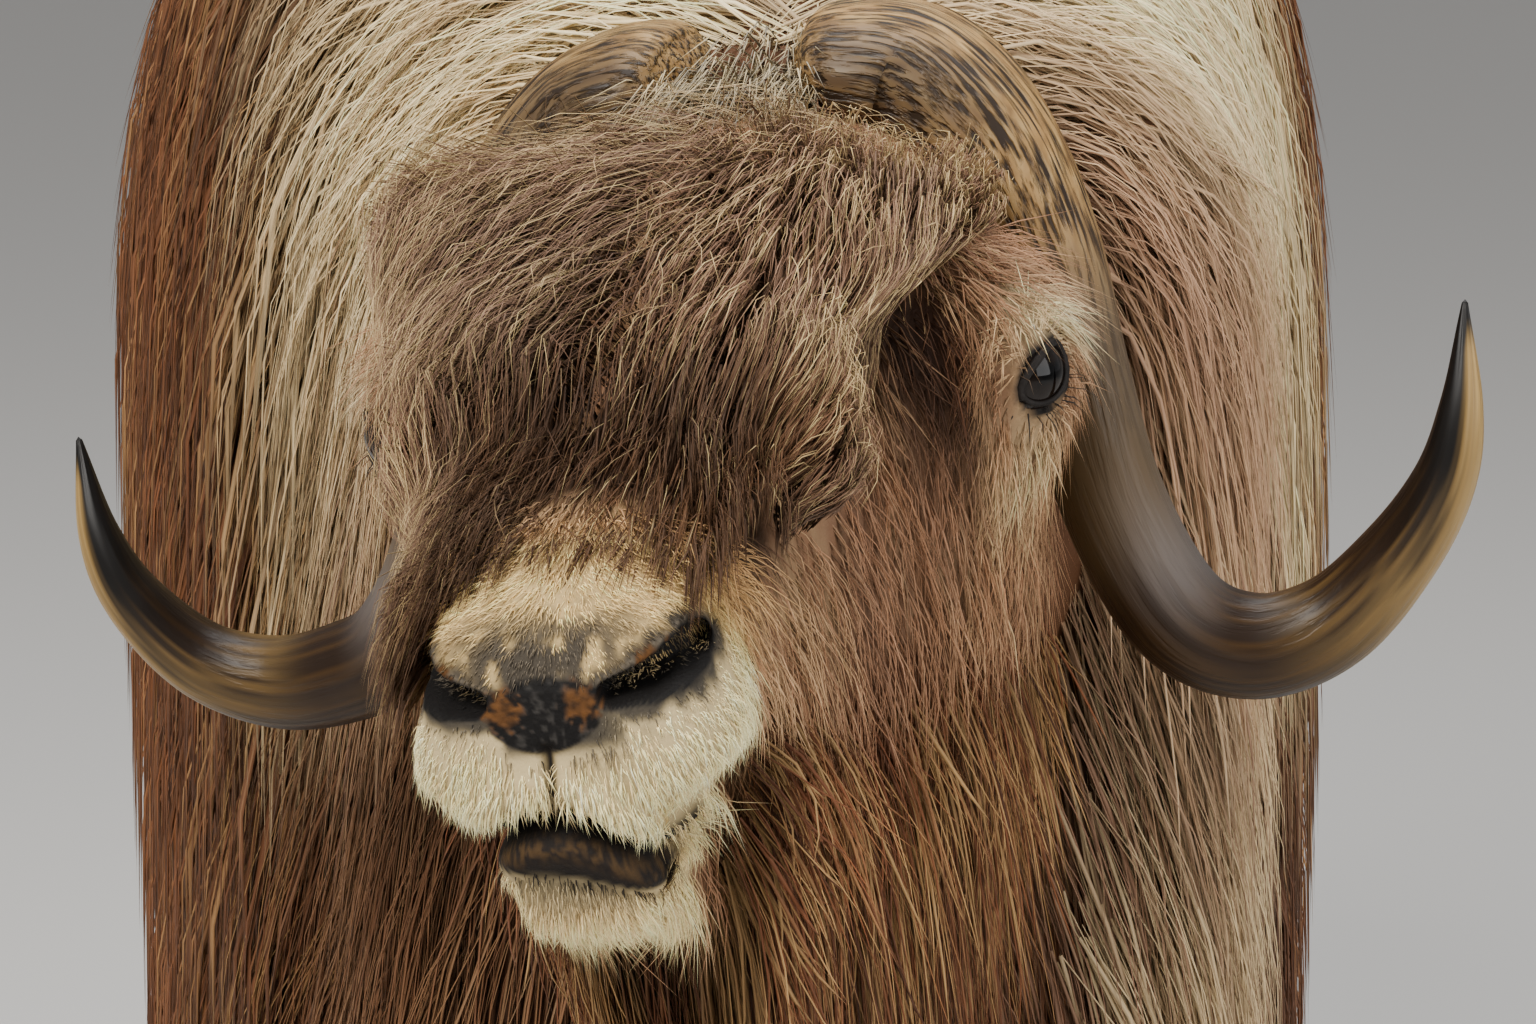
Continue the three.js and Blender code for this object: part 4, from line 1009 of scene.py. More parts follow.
def tail_rings(steps=24, columns=24):
    tail = row_table(TAIL_ROWS, ("t", "y", "z", "wide", "thick"))
    t = np.linspace(0, len(TAIL_ROWS) - 1, steps)[:, None]
    angle = np.linspace(0, TAU, columns, endpoint=False)
    lean = np.arctan2(tail("y", t + 0.1) - tail("y", t - 0.1), tail("z", t - 0.1) - tail("z", t + 0.1))
    thick = tail("thick", t) * np.sin(angle)
    x = tail("wide", t) * np.cos(angle)
    return join(x, tail("y", t) + thick * np.cos(lean), tail("z", t) + thick * np.sin(lean))


def leg_colour(p):
    streak = noise(p * (1, 1, 0.2), 9, 8)
    return blend(CREAM, TAN, np.clip(streak * 1.2 - 0.1, 0, 1))


def make_body_skin():
    """The trunk, neck, legs and tail in one skin"""
    parts = [trunk_rings(), neck_rings()]
    parts += [leg_rings(rows, base, side) for _, rows, base in LEGS for _, side in SIDES]
    parts.append(tail_rings())
    vertices, faces, offset = [], [], 0
    for rings in parts:
        vertices.append(end_values(rings, rings[0].mean(0), rings[-1].mean(0)))
        faces += [tuple(v + offset for v in face) for face in loft_faces(*rings.shape[:2])]
        offset += len(vertices[-1])
    piece = make_object("skin_body", to_scene(np.concatenate(vertices)), faces, skin_stuff)
    remesh = piece.modifiers.new("join", "REMESH")
    remesh.mode = "VOXEL"
    remesh.voxel_size = VOXEL
    remesh.use_smooth_shade = True
    soften = piece.modifiers.new("soften", "SMOOTH")
    soften.factor = 0.8
    soften.iterations = 6
    graph = bpy.context.evaluated_depsgraph_get()
    mesh = bpy.data.meshes.new_from_object(piece.evaluated_get(graph))
    piece.modifiers.clear()
    piece.data = mesh
    co = np.empty(len(mesh.vertices) * 3, np.float32)
    mesh.vertices.foreach_get("co", co)
    p = co.reshape(-1, 3) / MM - SHIFT
    # The skin is painted darker than the coat over it, and darker brown near the head: painted shade under
    # the hair
    legs = smooth(470, 400, p[:, 2])
    near_head = smooth(-620, -700, p[:, 1]) * (1 - legs)
    paint(piece, layers(body_markings(p) * 0.55, (leg_colour(p), legs), (BROWN * 0.6, near_head)))
    return piece


def make_head_skin():
    """The head's skin, darkened under its hair as painted shade, and its grid of points"""
    p, plain = head_skin()
    plain = end_values(plain, plain[0].mean(0))
    points = to_scene(from_head(end_values(p, p[0].mean(0))))
    piece = make_object("skin_head", points, loft_faces(*p.shape[:2], ends=1), skin_stuff)
    # Skin under hair at half brightness: painted shade
    paint(piece, head_colour(plain) * mix(1.0, 0.5, bare(plain))[:, None])
    return piece, p


skin = make_body_skin()
skin_head, head_points = make_head_skin()
for piece in bpy.context.selected_objects:
    piece.select_set(False)
for piece in (skin, skin_head):
    piece.select_set(True)
bpy.context.view_layer.objects.active = skin
bpy.ops.object.join()
skin.name = "skin"
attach(skin, "root")
FLESH = ["head", "neck", "tail"]
for part in ("shoulder", "flank", "rump"):
    FLESH += [f"{part}_left", f"{part}_right"]
FLESH += [f"leg_{end}_{label}" for end in ("front", "hind") for label in ("left", "right")]
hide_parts(*FLESH)


# Fur that grows from a grid of points

def surface_samples(p, count, weight, core=(0, -120, -85)):
    """Draws roots over a grid of points by area times weight; returns places, normals turned away
    from the core, and places on the grid's unwrap"""
    a, b = p[:-1], p[1:]
    c = np.roll(a, -1, 1)
    cross = np.cross(b - a, c - a)
    area = np.linalg.norm(cross, axis=-1)
    middle = (a + b + c) / 3
    normal = unit(cross)
    inward = np.sum(normal * (middle - np.asarray(core)), -1) < 0
    chance = (area * weight(middle)).ravel()
    pick = rng.choice(chance.size, count, p=chance / chance.sum())
    i, j = np.unravel_index(pick, area.shape)
    s, t = rng.random(count)[:, None], rng.random(count)[:, None]
    k = (j + 1) % p.shape[1]
    place = mix(mix(p[i, j], p[i, k], s), mix(p[i + 1, j], p[i + 1, k], s), t)
    n = normal[i, j] * np.where(inward[i, j], -1, 1)[:, None]
    return place, n, join((j + s[:, 0]) / p.shape[1], (i + t[:, 0]) / p.shape[0])


CURL, SINK = 0.12, 3.0


def fur_paths(place, normal, flow, length, lift, droop, steps, down=DOWN_HEAD):
    """Strand paths that leave the skin at a slant and bend over along the flow"""
    flow = unit(flow - np.sum(flow * normal, -1, keepdims=True) * normal)
    s = strand_steps(steps)[..., None]
    sway = rng.normal(0, CURL, (len(place), 1, 3))
    path = flow[:, None] * (s - 0.12 * s * (1 - s))
    path = path + normal[:, None] * lift[:, None, None] * (s - 0.55 * s * s)
    path = path + (down * droop + sway) * s * s
    return place[:, None] - normal[:, None] * SINK * (1 - s) ** 4 + length[:, None, None] * path


def face_flow(p):
    """Direction of the short hair on the face"""
    q = both(p)
    x, y, z = split(q)
    sign = side_of(p[..., 0])
    away = q - EYE_AT
    near = 0.9 * np.exp(-(np.linalg.norm(away, axis=-1) / 33) ** 2)
    return unit(layers(
        DOWN_HEAD + np.array([0, 0.25, 0]),
        (join(0.9 * sign * x / 36, -0.35, -0.6), smooth(-270, -310, y) * smooth(-75, -55, z)),
        (join(0.45 * sign * x / 50, 0, -1), smooth(-310, -345, y) * smooth(-70, -85, z)),
        (join(0.7 * sign * x / 40, 0.3, -1), smooth(-330, -360, y) * smooth(-138, -150, z)),
        (unit(away) * join(sign, 1, 1) + 0.4 * DOWN_HEAD, near),
    ))


def grow_face(name, count, region):
    """Short fur over a part of the face, shortest on the muzzle and round the eyes"""
    count = sized(count)
    place, normal, uv = surface_samples(
        head_points, count, lambda p: region(p) * bare(p) * (1 + 4 * bump_at(both(p), EYE_AT, (36, 36, 34))))
    q = both(place)
    x, y, z = split(q)
    muzzle = smooth(-310, -342, y)
    near_nostril = nostril_distance(q)
    eye = bump_at(q, EYE_AT, (30, 30, 28))
    brow = bump_at(q, (122, -112, 14), (40, 40, 24))
    curls = bump_at(q, (44, -326, -46), (24, 16, 22))
    length = mix(32.0 + 26 * smooth(-60, -170, z) * smooth(-310, -250, y), 10.0, muzzle)
    length = length * (1 + 0.9 * smooth(-140, -168, z) * muzzle)
    over_pad = smooth(40, 20, x) * bump_at(q[:, 1:], (-402, -58), (26, 12))
    length = length * mix(1, 0.38, np.clip(smooth(3.6, 1.3, near_nostril) + over_pad, 0, 1))
    length = length + 14 * brow * (1 - muzzle) * (1 - eye)
    top = smooth(-84, -62, z) * smooth(-262, -290, y)
    length = length * mix(1, 0.55, top * (1 - muzzle)) + 16 * curls
    length = length * mix(1, 0.34, eye) * rng.uniform(0.65, 1.25, count)
    lift = mix(0.34, 0.24, muzzle) + 0.2 * brow + rng.uniform(-0.1, 0.2, count) + 0.35 * curls
    to_y, to_z, number = clump(place[:, 1], place[:, 2], 9, 13, 11)
    sway = join(0, 0.9 * to_y, 0.2 * to_z) / 22 * (1 - muzzle)[:, None]
    flow = face_flow(place) + sway + rng.normal(0, 0.1, (count, 3)) * (1 + 5 * curls[:, None])
    paths = fur_paths(place, normal, unit(flow), length, lift, 0.12, 3)
    tone = 1 + mix(0.34, 0.16, muzzle) * (number - 0.5)
    tone = tone * (1 - 0.7 * above_nostril(q) * smooth(2.6, 1.7, near_nostril))
    colour = vary(head_colour(place) * tone[:, None], 0.17)
    widths = mix(1.0, 0.6, muzzle) * rng.uniform(0.6, 1.3, count) * mix(1, 0.7, eye)
    # Roots are darkened as painted shade, except on the muzzle and the pale patch above the eye, which stay
    # bright as painted light; tips are brightened as painted light
    pale = np.maximum(muzzle, bump_at(q, (142, -128, -8), (22, 32, 20)))
    root, tip = mix(0.55, 1.0, pale)[:, None], mix(1.42, 1.38, muzzle)[:, None]
    head_strands(name, paths, normal, widths, *shaded(colour, root, tip), uv)


# Wool of the forehead: the layer, its strands, their steps and widths
WOOL_LAYERS = (
    ("under", 5200, 4, (1.2, 2.1)),
    ("over_0", 6200, 5, (0.38, 0.8)),
    ("over_1", 6200, 5, (0.38, 0.8)),
)
WOOL_ROUND = 110


def wool_point(y, angle, inset):
    """The outline of the forehead's wool; ahead of its ledge it leans down over the muzzle"""
    at = np.maximum(WOOL["y"][0], y)
    forward = np.minimum(0, y - WOOL["y"][0])
    across, up = rounded(angle, 2.6)
    top = head("top", at) + wool("rise", at) - inset
    bottom = wool("low", at) - 20
    x = (wool("half", at) - inset * 0.5) * across
    z = (top + bottom) / 2 + ((top - bottom) / 2) * up
    notch = ridge(np.abs(x) - 84, 34) * smooth(-175, -95, y) * smooth(0, 30, z)
    recess = WOOL_RECESS * wool_recess(y, z) * np.where(x < 0, 0.3, 1.0)
    full = smooth(-40, -95, x) * smooth(-200, -110, y)
    z = z + 0.5 * forward - 17 * notch + 16 * full * smooth(-20, 20, z)
    return join(x * (1 - recess) - 12 * full, at + 0.95 * forward, z)


def grow_wool(label, count, steps, width_range):
    """One layer of the woolly forehead, hanging forward in clumps to a ledge over the muzzle"""
    count = sized(count)
    under = label == "under"
    y0 = mix(-330, -4, rng.random(count) ** 1.25)
    degrees = rng.uniform(-10, 190, count)
    a0 = np.radians(degrees)
    length = rng.uniform(40, 76, count) * mix(0.7, 1, smooth(-10, 35, degrees))
    beside = smooth(50, 22, degrees) * smooth(-225, -262, y0)
    y0 = y0 + 48 * beside
    length = length * (1 - 0.35 * beside)
    to_arc, to_y, number = clump(a0 * WOOL_ROUND, y0, 24, 22, 13)
    fine_arc, fine_y, fine = clump(a0 * WOOL_ROUND, y0, 7, 11, 14)
    s = strand_steps(steps)
    pull = rng.uniform(0.35, 1.0, count)[:, None] * s ** 1.2
    stray = (rng.random(count) < 0.1) & (not under)
    swing = 22 * (number - 0.5) + 9 * (fine - 0.5) + rng.normal(0, 2.5, count)
    swing = swing + 22 * rng.normal(0, 1, count) * stray
    sweep = 0.55 * length * smooth(45, 125, degrees) * smooth(-330, -220, y0)
    fan = 0.3 * np.cos(a0) * length
    y = y0[:, None] - length[:, None] * 0.9 * s ** 1.05 + (0.6 * to_y + 0.4 * fine_y)[:, None] * pull
    across = (0.6 * to_arc + 0.4 * fine_arc)[:, None] * pull
    across = across + (swing + sweep - fan)[:, None] * s ** 1.4
    across = across + 2.6 * np.sin(TAU * (0.8 * s + fine[:, None])) * s
    widths = rng.uniform(*width_range, count)
    depth = np.where(stray, rng.uniform(-5, 4, count), rng.uniform(0, 20, count) + 9 * under)
    depth = depth * mix(1, 0.55, smooth(-230, -300, y0))
    lift = 12 * (number - 0.5) + 4 * (fine - 0.5)
    rise = np.sin(math.pi * np.clip(s * 1.1, 0, 1)) * 3
    inset = mix(46, (depth + lift)[:, None], 1 - (1 - s) ** 2.2) - rise
    paths = wool_point(y, a0[:, None] + across / WOOL_ROUND, inset)
    outs = unit(paths[:, 1] * (1, 0, 1) + (0, 0, 60))
    place = mix(paths[:, 0], paths[:, -1], 0.6)
    # low_part marks strands that end low at the wool's ledge; they are painted redder and darker, red-brown
    # wool with painted shade under the ledge
    low_part = smooth(-264, -322, paths[:, -1, 1])
    low_part = low_part * (1 - 0.8 * smooth(-36, -66, place[:, 0]) * smooth(20, -20, place[:, 2]))
    warm = noise(place, 30, 9)
    base = blend(BROWN_PINK, BROWN_RED, np.clip(0.75 * low_part + 0.7 * (warm - 0.4), 0, 1))
    base = blend(base, BROWN_DARK, 0.6 * low_part)
    blond = (rng.random(count) < mix(0.42, 0.1, low_part)) | (stray & (low_part < 0.5))
    blond = blond & (not under)
    tip = blend(base, BLOND, np.where(blond, rng.uniform(0.25, 0.9, count), 0.06))
    tip = blend(tip, CREAM, 0.8 * smooth(-34, -8, y0 + 14 * (fine - 0.5)))
    # Deeper strands, the under layer and the low part are darker: painted shade inside the wool
    tone = (0.7 + 0.55 * number + 0.25 * fine) * (1.22 - 0.6 * np.maximum(depth, 0) / 30)
    tone = tone * mix(1.03, 0.62, low_part) * (0.8 if under else 1.0)
    tip = vary(tip * tone[:, None], 0.1)
    # Dark roots: painted shade inside the wool
    root = mix(tip * 0.35, BROWN_DARK * 0.6, 0.6)
    uv = patch_at((a0 + 0.2) / 3.7, (y0 + 334) / 338, 0.01)
    head_strands(f"coat_forehead_{label}", paths, outs, widths, root, tip, uv)


def grow_brows():
    """Longer hair over each eye, hanging forward past the socket's hollow"""
    count = sized(2400)
    place, normal, uv = surface_samples(
        head_points, count, lambda p: bump_at(both(p), (118, -104, 24), (26, 42, 22)) * clear_of_eye(both(p)))
    x, _, z = split(both(place))
    to_y, _, number = clump(place[:, 1], place[:, 2], 15, 18, 21)
    flow = join(side_of(place[:, 0]) * (0.2 + 0.5 * (number - 0.5)), -0.5 + to_y / 30, -0.8)
    length = np.minimum(rng.uniform(14, 32, count), np.maximum(z + 10, 6) * 0.9)
    paths = fur_paths(place, normal, unit(flow), length, rng.uniform(0.4, 0.8, count), 0.2, 4)
    base = blend(CHEEK, BROWN_PINK, rng.random(count))
    base = blend(base, BLOND, rng.uniform(0, 0.8, count) * (rng.random(count) < 0.35))
    pale = smooth(34, 14, z) * smooth(118, 130, x)
    # The pale hair above the eye is cream and is also brightened: painted light
    base = vary(blend(base, CREAM_PALE, pale) * (0.8 + 0.4 * number + 0.3 * pale)[:, None], 0.12)
    widths = rng.uniform(0.45, 1.0, count)
    head_strands("coat_brows", paths, normal, widths, *shaded(base, 0.6, 1.2), uv)


def grow_crest():
    """Pale wool between the horns, brushed forward over the forehead"""
    count = sized(1800)
    x0 = rng.uniform(-40, 40, count)
    y0 = rng.uniform(-22, 125, count)
    s = strand_steps(4)
    length = rng.uniform(50, 95, count)[:, None]
    drift = rng.normal(0, 0.12, (count, 1)) + 0.15 * np.sin(x0 / 9)[:, None]
    steep = rng.uniform(0.5, 0.95, (count, 1))
    path = join(x0, y0, 50 - 0.2 * np.abs(x0))[:, None] + join(
        length * drift * s ** 1.3, -length * (0.25 * s + 0.5 * s * s), length * (steep * s - 0.62 * s * s))
    tone = rng.uniform(0.55, 1.05, count)[:, None]
    colour = blend(CREAM_PALE, CREST_GREY, rng.random(count)) * tone
    outs = np.tile([0.0, -0.5, 1.0], (count, 1))
    uv = patch_at((x0 + 45) / 90, (y0 + 30) / 160, 0.02)
    head_strands("coat_crest", path, outs, rng.uniform(0.7, 1.5, count), *shaded(colour, 0.5, 1), uv)


def grow_beard(label, side):
    """Long hair of the cheeks, jaw and throat, hanging straight down"""
    count = sized(4600)
    y0 = rng.uniform(-315, 85, count)
    degrees = -mix(mix(6, 26, smooth(-290, -200, y0)), 97, rng.random(count) ** 0.9)
    a0 = np.radians(degrees)
    skin_at = head_point(y0, a0, -FLESH_INSET)
    out = unit((head_point(y0, a0, FLESH_INSET) - skin_at) * (1, 0, 1))
    skin_at[:, 0] += 10 * bump_at(skin_at, *CHEEK_SWELL)
    under = smooth(-20, -75, degrees)
    length = mix(80.0, 275.0, under) * rng.uniform(0.5, 1.08, count)
    length = length * mix(0.38, 1, smooth(-345, -250, y0))
    to_y, _, number = clump(y0, degrees * 3, 19, 50, 17)
    to_fine, _, fine = clump(y0, degrees * 3, 7, 30, 18)
    s = strand_steps(STRAND_STEPS)
    stand = rng.uniform(2, 24, count) + 6 * (number - 0.5)
    outward = stand[:, None] * (1 - (1 - s) ** 2.5) - 6 * (1 - s) ** 6
    fall = length[:, None] * s ** 1.12
    path = skin_at[:, None] + out[:, None] * outward[..., None] + DOWN_HEAD * fall[..., None]
    pull = rng.uniform(0.2, 0.85, count) * to_y + 0.25 * to_fine
    swing = 30 * (number - 0.5) + 12 * (fine - 0.5) + rng.normal(0, 4, count) + 14
    path[..., 1] += pull[:, None] * s ** 1.3 + swing[:, None] * s ** 1.8
    path[..., 0] += (rng.normal(3, 8, count) + 12 * (fine - 0.5))[:, None] * s ** 2
    path[..., 0] *= side
    out[:, 0] *= side
    streak = noise(join(y0, degrees * 0.25, 0), 7, 10)
    colour = layers(
        BROWN_RED,
        (TAN, 0.85 * smooth(0.46, 0.78, streak + rng.normal(0, 0.07, count))),
        (BROWN_DARK, 0.55 * smooth(0.42, 0.2, streak)),
        (BROWN_DARK, 0.45 * under),
    )
    # Strands standing nearer the skin are darker, painted shade under the outer hair
    tone = (0.8 + 0.35 * number + 0.15 * fine) * (0.8 + 0.4 * stand / 24)
    colour = vary(colour * tone[:, None], 0.12)
    widths, broad = layered(count, 0.3, (1.9, 3.2), (0.6, 1.3))
    # The broad strands are darker too: painted shade of an under layer
    colour = colour * np.where(broad, 0.8, 1.0)[:, None]
    uv = patch_at((y0 + 330) / 430, -degrees / 110 + 0.03, 0.02)
    head_strands(f"coat_beard_{label}", path, out, widths, *shaded(colour, 0.5, 1.2), uv)


def grow_legs():
    """Short pale fur of the legs, lying straight down to the hooves"""
    for end, rows, base in LEGS:
        for label, side in SIDES:
            count = sized(1150)
            rings = leg_rings(rows, base, side, 60, 36)
            core = (side * LEG_SPREAD, base + 5, 250)
            place, normal, uv = surface_samples(rings, count, lambda p: smooth(500, 440, p[..., 2]), core)
            normal = unit(normal * (1, 1, 0))
            flow = DOWN + rng.normal(0, 0.12, (count, 3))
            length = rng.uniform(16, 30, count) * mix(0.6, 1.2, smooth(60, 350, place[:, 2]))
            length = np.minimum(length, np.maximum(place[:, 2] - 44, 8))
            lift = rng.uniform(0.15, 0.4, count)
            paths = fur_paths(place, normal, flow, length, lift, 0, 3, down=DOWN)
            colour = vary(leg_colour(place), 0.14)
            widths = rng.uniform(1.6, 3.6, count)
            build_strands(f"coat_leg_{end}_{label}", paths, normal, widths, *shaded(colour, 0.55, 1), uv)


def grow_tail():
    """Hair of the tail, mostly lost in the coat of the rump"""
    count = sized(900)
    rings = tail_rings()
    core = rings.mean(1).mean(0)
    place, normal, uv = surface_samples(rings, count, lambda p: smooth(650, 700, p[..., 1]), core)
    normal = unit(normal * (1, 0.6, 0) + (0, 0.5, 0))
    length = np.minimum(rng.uniform(60, 120, count), place[:, 2] - 800)
    lift = rng.uniform(0.05, 0.2, count)
    flow = DOWN + rng.normal(0, 0.06, (count, 3))
    paths = fur_paths(place, normal, flow, length, lift, 0, 4, down=DOWN)
    colour = vary(blend(BROWN_RED, TAN, rng.uniform(0.0, 0.5, count)), 0.1)
    build_strands("coat_tail", paths, normal, rng.uniform(3.0, 7.0, count), *shaded(colour, 0.6, 1), uv)


EAR_ROOT, EAR_TIP = np.array([112.0, 52, 4]), np.array([168.0, 126, -34])
EAR_OPEN = unit(np.array([0.66, -0.48, -0.3]))
EAR_HALF = 28


def grow_ears(label, side):
    """Long hair along the back and the rims of an ear"""
    count = sized(620)
    run = unit(EAR_TIP - EAR_ROOT)
    across = unit(np.cross(run, EAR_OPEN))
    back = -np.cross(across, run)
    back = back * np.sign(-back @ EAR_OPEN)
    t = rng.uniform(0.02, 0.94, count)
    turn = rng.uniform(-1.15, 1.15, count) * math.pi / 2
    sideways, behind = across * np.sin(turn)[:, None], back * np.cos(turn)[:, None]
    half = EAR_HALF * (0.3 + 0.7 * np.sin(math.pi * np.clip(0.12 + 0.8 * t, 0, 1)))[:, None]
    place = mix(EAR_ROOT, EAR_TIP, t[:, None]) + half * (0.85 * sideways + 0.35 * behind)
    normal = unit(sideways + behind)
    flow = 0.35 * run + 0.25 * sideways + 1.2 * DOWN_HEAD + rng.normal(0, 0.14, (count, 3))
    lift = rng.uniform(0.05, 0.3, count)
    paths = fur_paths(place, normal, flow, rng.uniform(18, 40, count), lift, 0.6, 4)
    paths[..., 0] *= side
    normal[:, 0] *= side
    colour = vary(blend(MANE_PINK, CREAM, rng.uniform(0.2, 1, count)), 0.1)
    uv = patch_at(t, turn / 4 + 0.5, 0.02)
    widths = rng.uniform(0.9, 2.0, count)
    head_strands(f"coat_ear_{label}", paths, normal, widths, *shaded(colour, 0.5, 1), uv)


grow_body()
grow_legs()
grow_tail()
for label, side in SIDES:
    grow_ears(label, side)
for label, side in SIDES:
    grow_mane(label, side)
grow_face("coat_muzzle", 15000, lambda p: smooth(-322, -336, p[..., 1]))
grow_face("coat_face", 16500, lambda p: smooth(-340, -326, p[..., 1]) * smooth(60, 20, p[..., 1]))
for layer in WOOL_LAYERS:
    grow_wool(*layer)
grow_brows()
grow_crest()
for label, side in SIDES:
    grow_beard(label, side)


# Horns

# From tip to root: place in the head's frame, half width and half thickness
HORN = (
    (289, -67, -44, 1.2, 1.2), (284, -77, -82, 8.5, 8.5), (274, -78, -111, 12.5, 12.5),
    (252, -72, -141, 16, 16), (222, -70, -157, 19, 19), (190, -75, -156, 21, 21),
    (162, -78, -143, 21.5, 21.5), (141, -68, -108, 21.5, 21), (129, -47, -62, 23, 21),
    (117, -23, -14, 29, 23), (98, -3, 28, 40, 25), (70, 12, 56, 51, 25), (42, 10, 66, 51, 22),
    (28, 9, 66, 38, 15), (20, 8, 66, 8, 4),
)
# How far the left horn hangs lower at each row, and each side's share of it
HORN_HOOK = np.array((0, 0, 0, 0, 10, 17, 13, 4, 0, 0, 0, 0, 0, 0, 0))
SIDE_HOOK = {"left": 1.0, "right": -0.25}
HORN_RINGS, HORN_SIDES = 200, 64
RIB = 2.6
# The blue-grey among these colours is for a painted highlight on the horn's shaft
UMBER, AMBER, HIGHLIGHT_GREY = srgb("20140a"), srgb("a88a56"), srgb("635c58")
HORN_STREAK, SHAFT_BROWN, HORN_TIP = srgb("4a3418"), srgb("57452c"), srgb("0d0b0a")
STRAW, STRAW_PALE, STRAW_DARK, HOLLOW = srgb("b08a55"), srgb("cfae78"), srgb("7c5c38"), srgb("35302c")


def make_horn(label, side):
    rows = np.array(HORN)
    rows[:, 2] -= HORN_HOOK * SIDE_HOOK[label]
    line = row_table(rows, ("t", "x", "y", "z", "wide", "thick"))
    at = np.linspace(0, len(HORN) - 1, HORN_RINGS)
    centre = join(line("x", at), line("y", at), line("z", at))
    wide, thick = line("wide", at)[:, None], line("thick", at)[:, None]
    a = (at / (len(HORN) - 1))[:, None]
    run = unit(np.gradient(centre, axis=0))
    ahead = np.array([0, -1.0, 0])
    fore = unit(ahead - run * (run @ ahead)[:, None])
    out = np.cross(run, fore)
    angle = np.linspace(0, TAU, HORN_SIDES, endpoint=False)
    c, s = rounded(angle, 2.15)
    boss = smooth(0.56, 0.70, a)
    length = np.concatenate([[0], np.cumsum(np.linalg.norm(np.diff(centre, axis=0), axis=1))])[:, None]
    key = join(np.cos(angle) * 50, np.sin(angle) * 50, length * 0.10)
    ribs = noise(key, 4.2, 12)
    fine = noise(key * (1, 1, 2.6), 1.9, 13)
    relief = (ribs - 0.5) * mix(0.5, 2.4, boss)
    ring = centre[:, None] + fore[:, None] * (c * (wide + relief))[..., None]
    ring = ring + out[:, None] * (s * (thick + relief))[..., None]
    points = end_values(ring, centre[0] - run[0] * 1.5, centre[-1])
    points[:, 0] *= side
    faces = loft_faces(HORN_RINGS, HORN_SIDES)
    piece = make_object(f"horn_shell_{label}", to_scene(from_head(points)), faces, horn_stuff)

    facing = fore[:, None] * c[..., None] + out[:, None] * s[..., None]
    sideways, _, up = split(facing)
    # warm: amber on the hook, mostly on its outer faces, which is the horn's own lighter colour, and partly
    # where it faces up, which is painted light
    warm = smooth(-0.35, 0.7, 0.75 * sideways + 0.25 * up + 0.7 * (ribs - 0.5))
    shaft = smooth(0.38, 0.48, a) * (1 - boss)
    worn = layers(
        STRAW,
        (STRAW_PALE, smooth(0.55, 0.85, fine) * 0.6),
        (STRAW_DARK, smooth(0.5, 0.25, fine) * 0.8),
        (HOLLOW, 0.75 * smooth(0.2, 0.9, c) * smooth(0.62, 0.75, a) * smooth(0.97, 0.85, a)),
    )
    black = smooth(0.24, 0.10, a + 0.05 * (ribs - 0.5)) * smooth(0.45, 0.0, sideways)
    colour = layers(
        UMBER,
        (AMBER, warm * smooth(0.36, 0.2, a)),
        (HORN_STREAK, 0.45 * smooth(0.45, 0.7, ribs) * smooth(0.5, 0.36, a)),
        # Blue-grey on the shaft where it faces up and outward: a painted highlight
        (HIGHLIGHT_GREY, shaft * smooth(-0.2, 0.7, up + 0.5 * sideways + 0.6 * (ribs - 0.5)) * 0.85),
        (SHAFT_BROWN, 0.8 * (1 - boss) * smooth(0.44, 0.52, a)),
        (worn * (0.88 if side > 0 else 0.7), boss),
        (HORN_TIP, np.clip(black + smooth(0.035, 0.01, a), 0, 1)),
    )
    cracked = (0.12 + 0.88 * smooth(0.5, 0.66, a)) * smooth(0.05, 0.3, a)
    alpha = np.concatenate([np.repeat(cracked, HORN_SIDES), [0, 1]])
    paint(piece, np.clip(end_values(colour, colour[0, 0], colour[-1, 0]), 0, 1), alpha)
    grain = join(c * wide, s * thick, 0.09 * length) / RIB
    grain = end_values(grain, grain[0, 0], grain[-1, 0]).astype(np.float32)
    layer = piece.data.attributes.new("Grain", "FLOAT_VECTOR", "POINT")
    layer.data.foreach_set("vector", grain.ravel())
    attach(piece, "root")
    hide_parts(f"horn_{label}")


# Eyes with their lids

EYE_RINGS, EYE_COLUMNS, CORNEA = 28, 40, 0.03
LID_STEPS, LID_ROUND = 72, 14
EYE_BROWN, IRIS, PUPIL = srgb("1c1613"), srgb("150e0a"), srgb("030304")


def make_eye(label, centre, axis, across, up):
    """The eyeball with its swelling cornea, and a dark iris and pupil"""
    theta = np.linspace(0.02, math.pi, EYE_RINGS)[:, None]
    phi = np.linspace(0, TAU, EYE_COLUMNS, endpoint=False)
    a, b = np.sin(theta) * np.cos(phi), np.sin(theta) * np.sin(phi)
    reach = EYE_RADIUS * (1 + CORNEA * ridge(theta, 0.5))[..., None]
    p = centre + reach * (a[..., None] * across + b[..., None] * up + np.cos(theta)[..., None] * axis)
    points = end_values(p, centre + axis * EYE_RADIUS * (1 + CORNEA))
    faces = loft_faces(EYE_RINGS, EYE_COLUMNS, ends=1)
    piece = make_object(f"eyeball_{label}", to_scene(from_head(points)), faces, eye_stuff)
    pupil = smooth(0.4, 0.3, np.abs(a)) * smooth(0.2, 0.15, np.abs(b))
    colour = layers(EYE_BROWN + 0 * p, (IRIS, smooth(0.62, 0.5, theta)), (PUPIL, pupil))
    paint(piece, end_values(colour, colour[0, 0]))
    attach(piece, "root")
    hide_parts(f"eye_{label}")


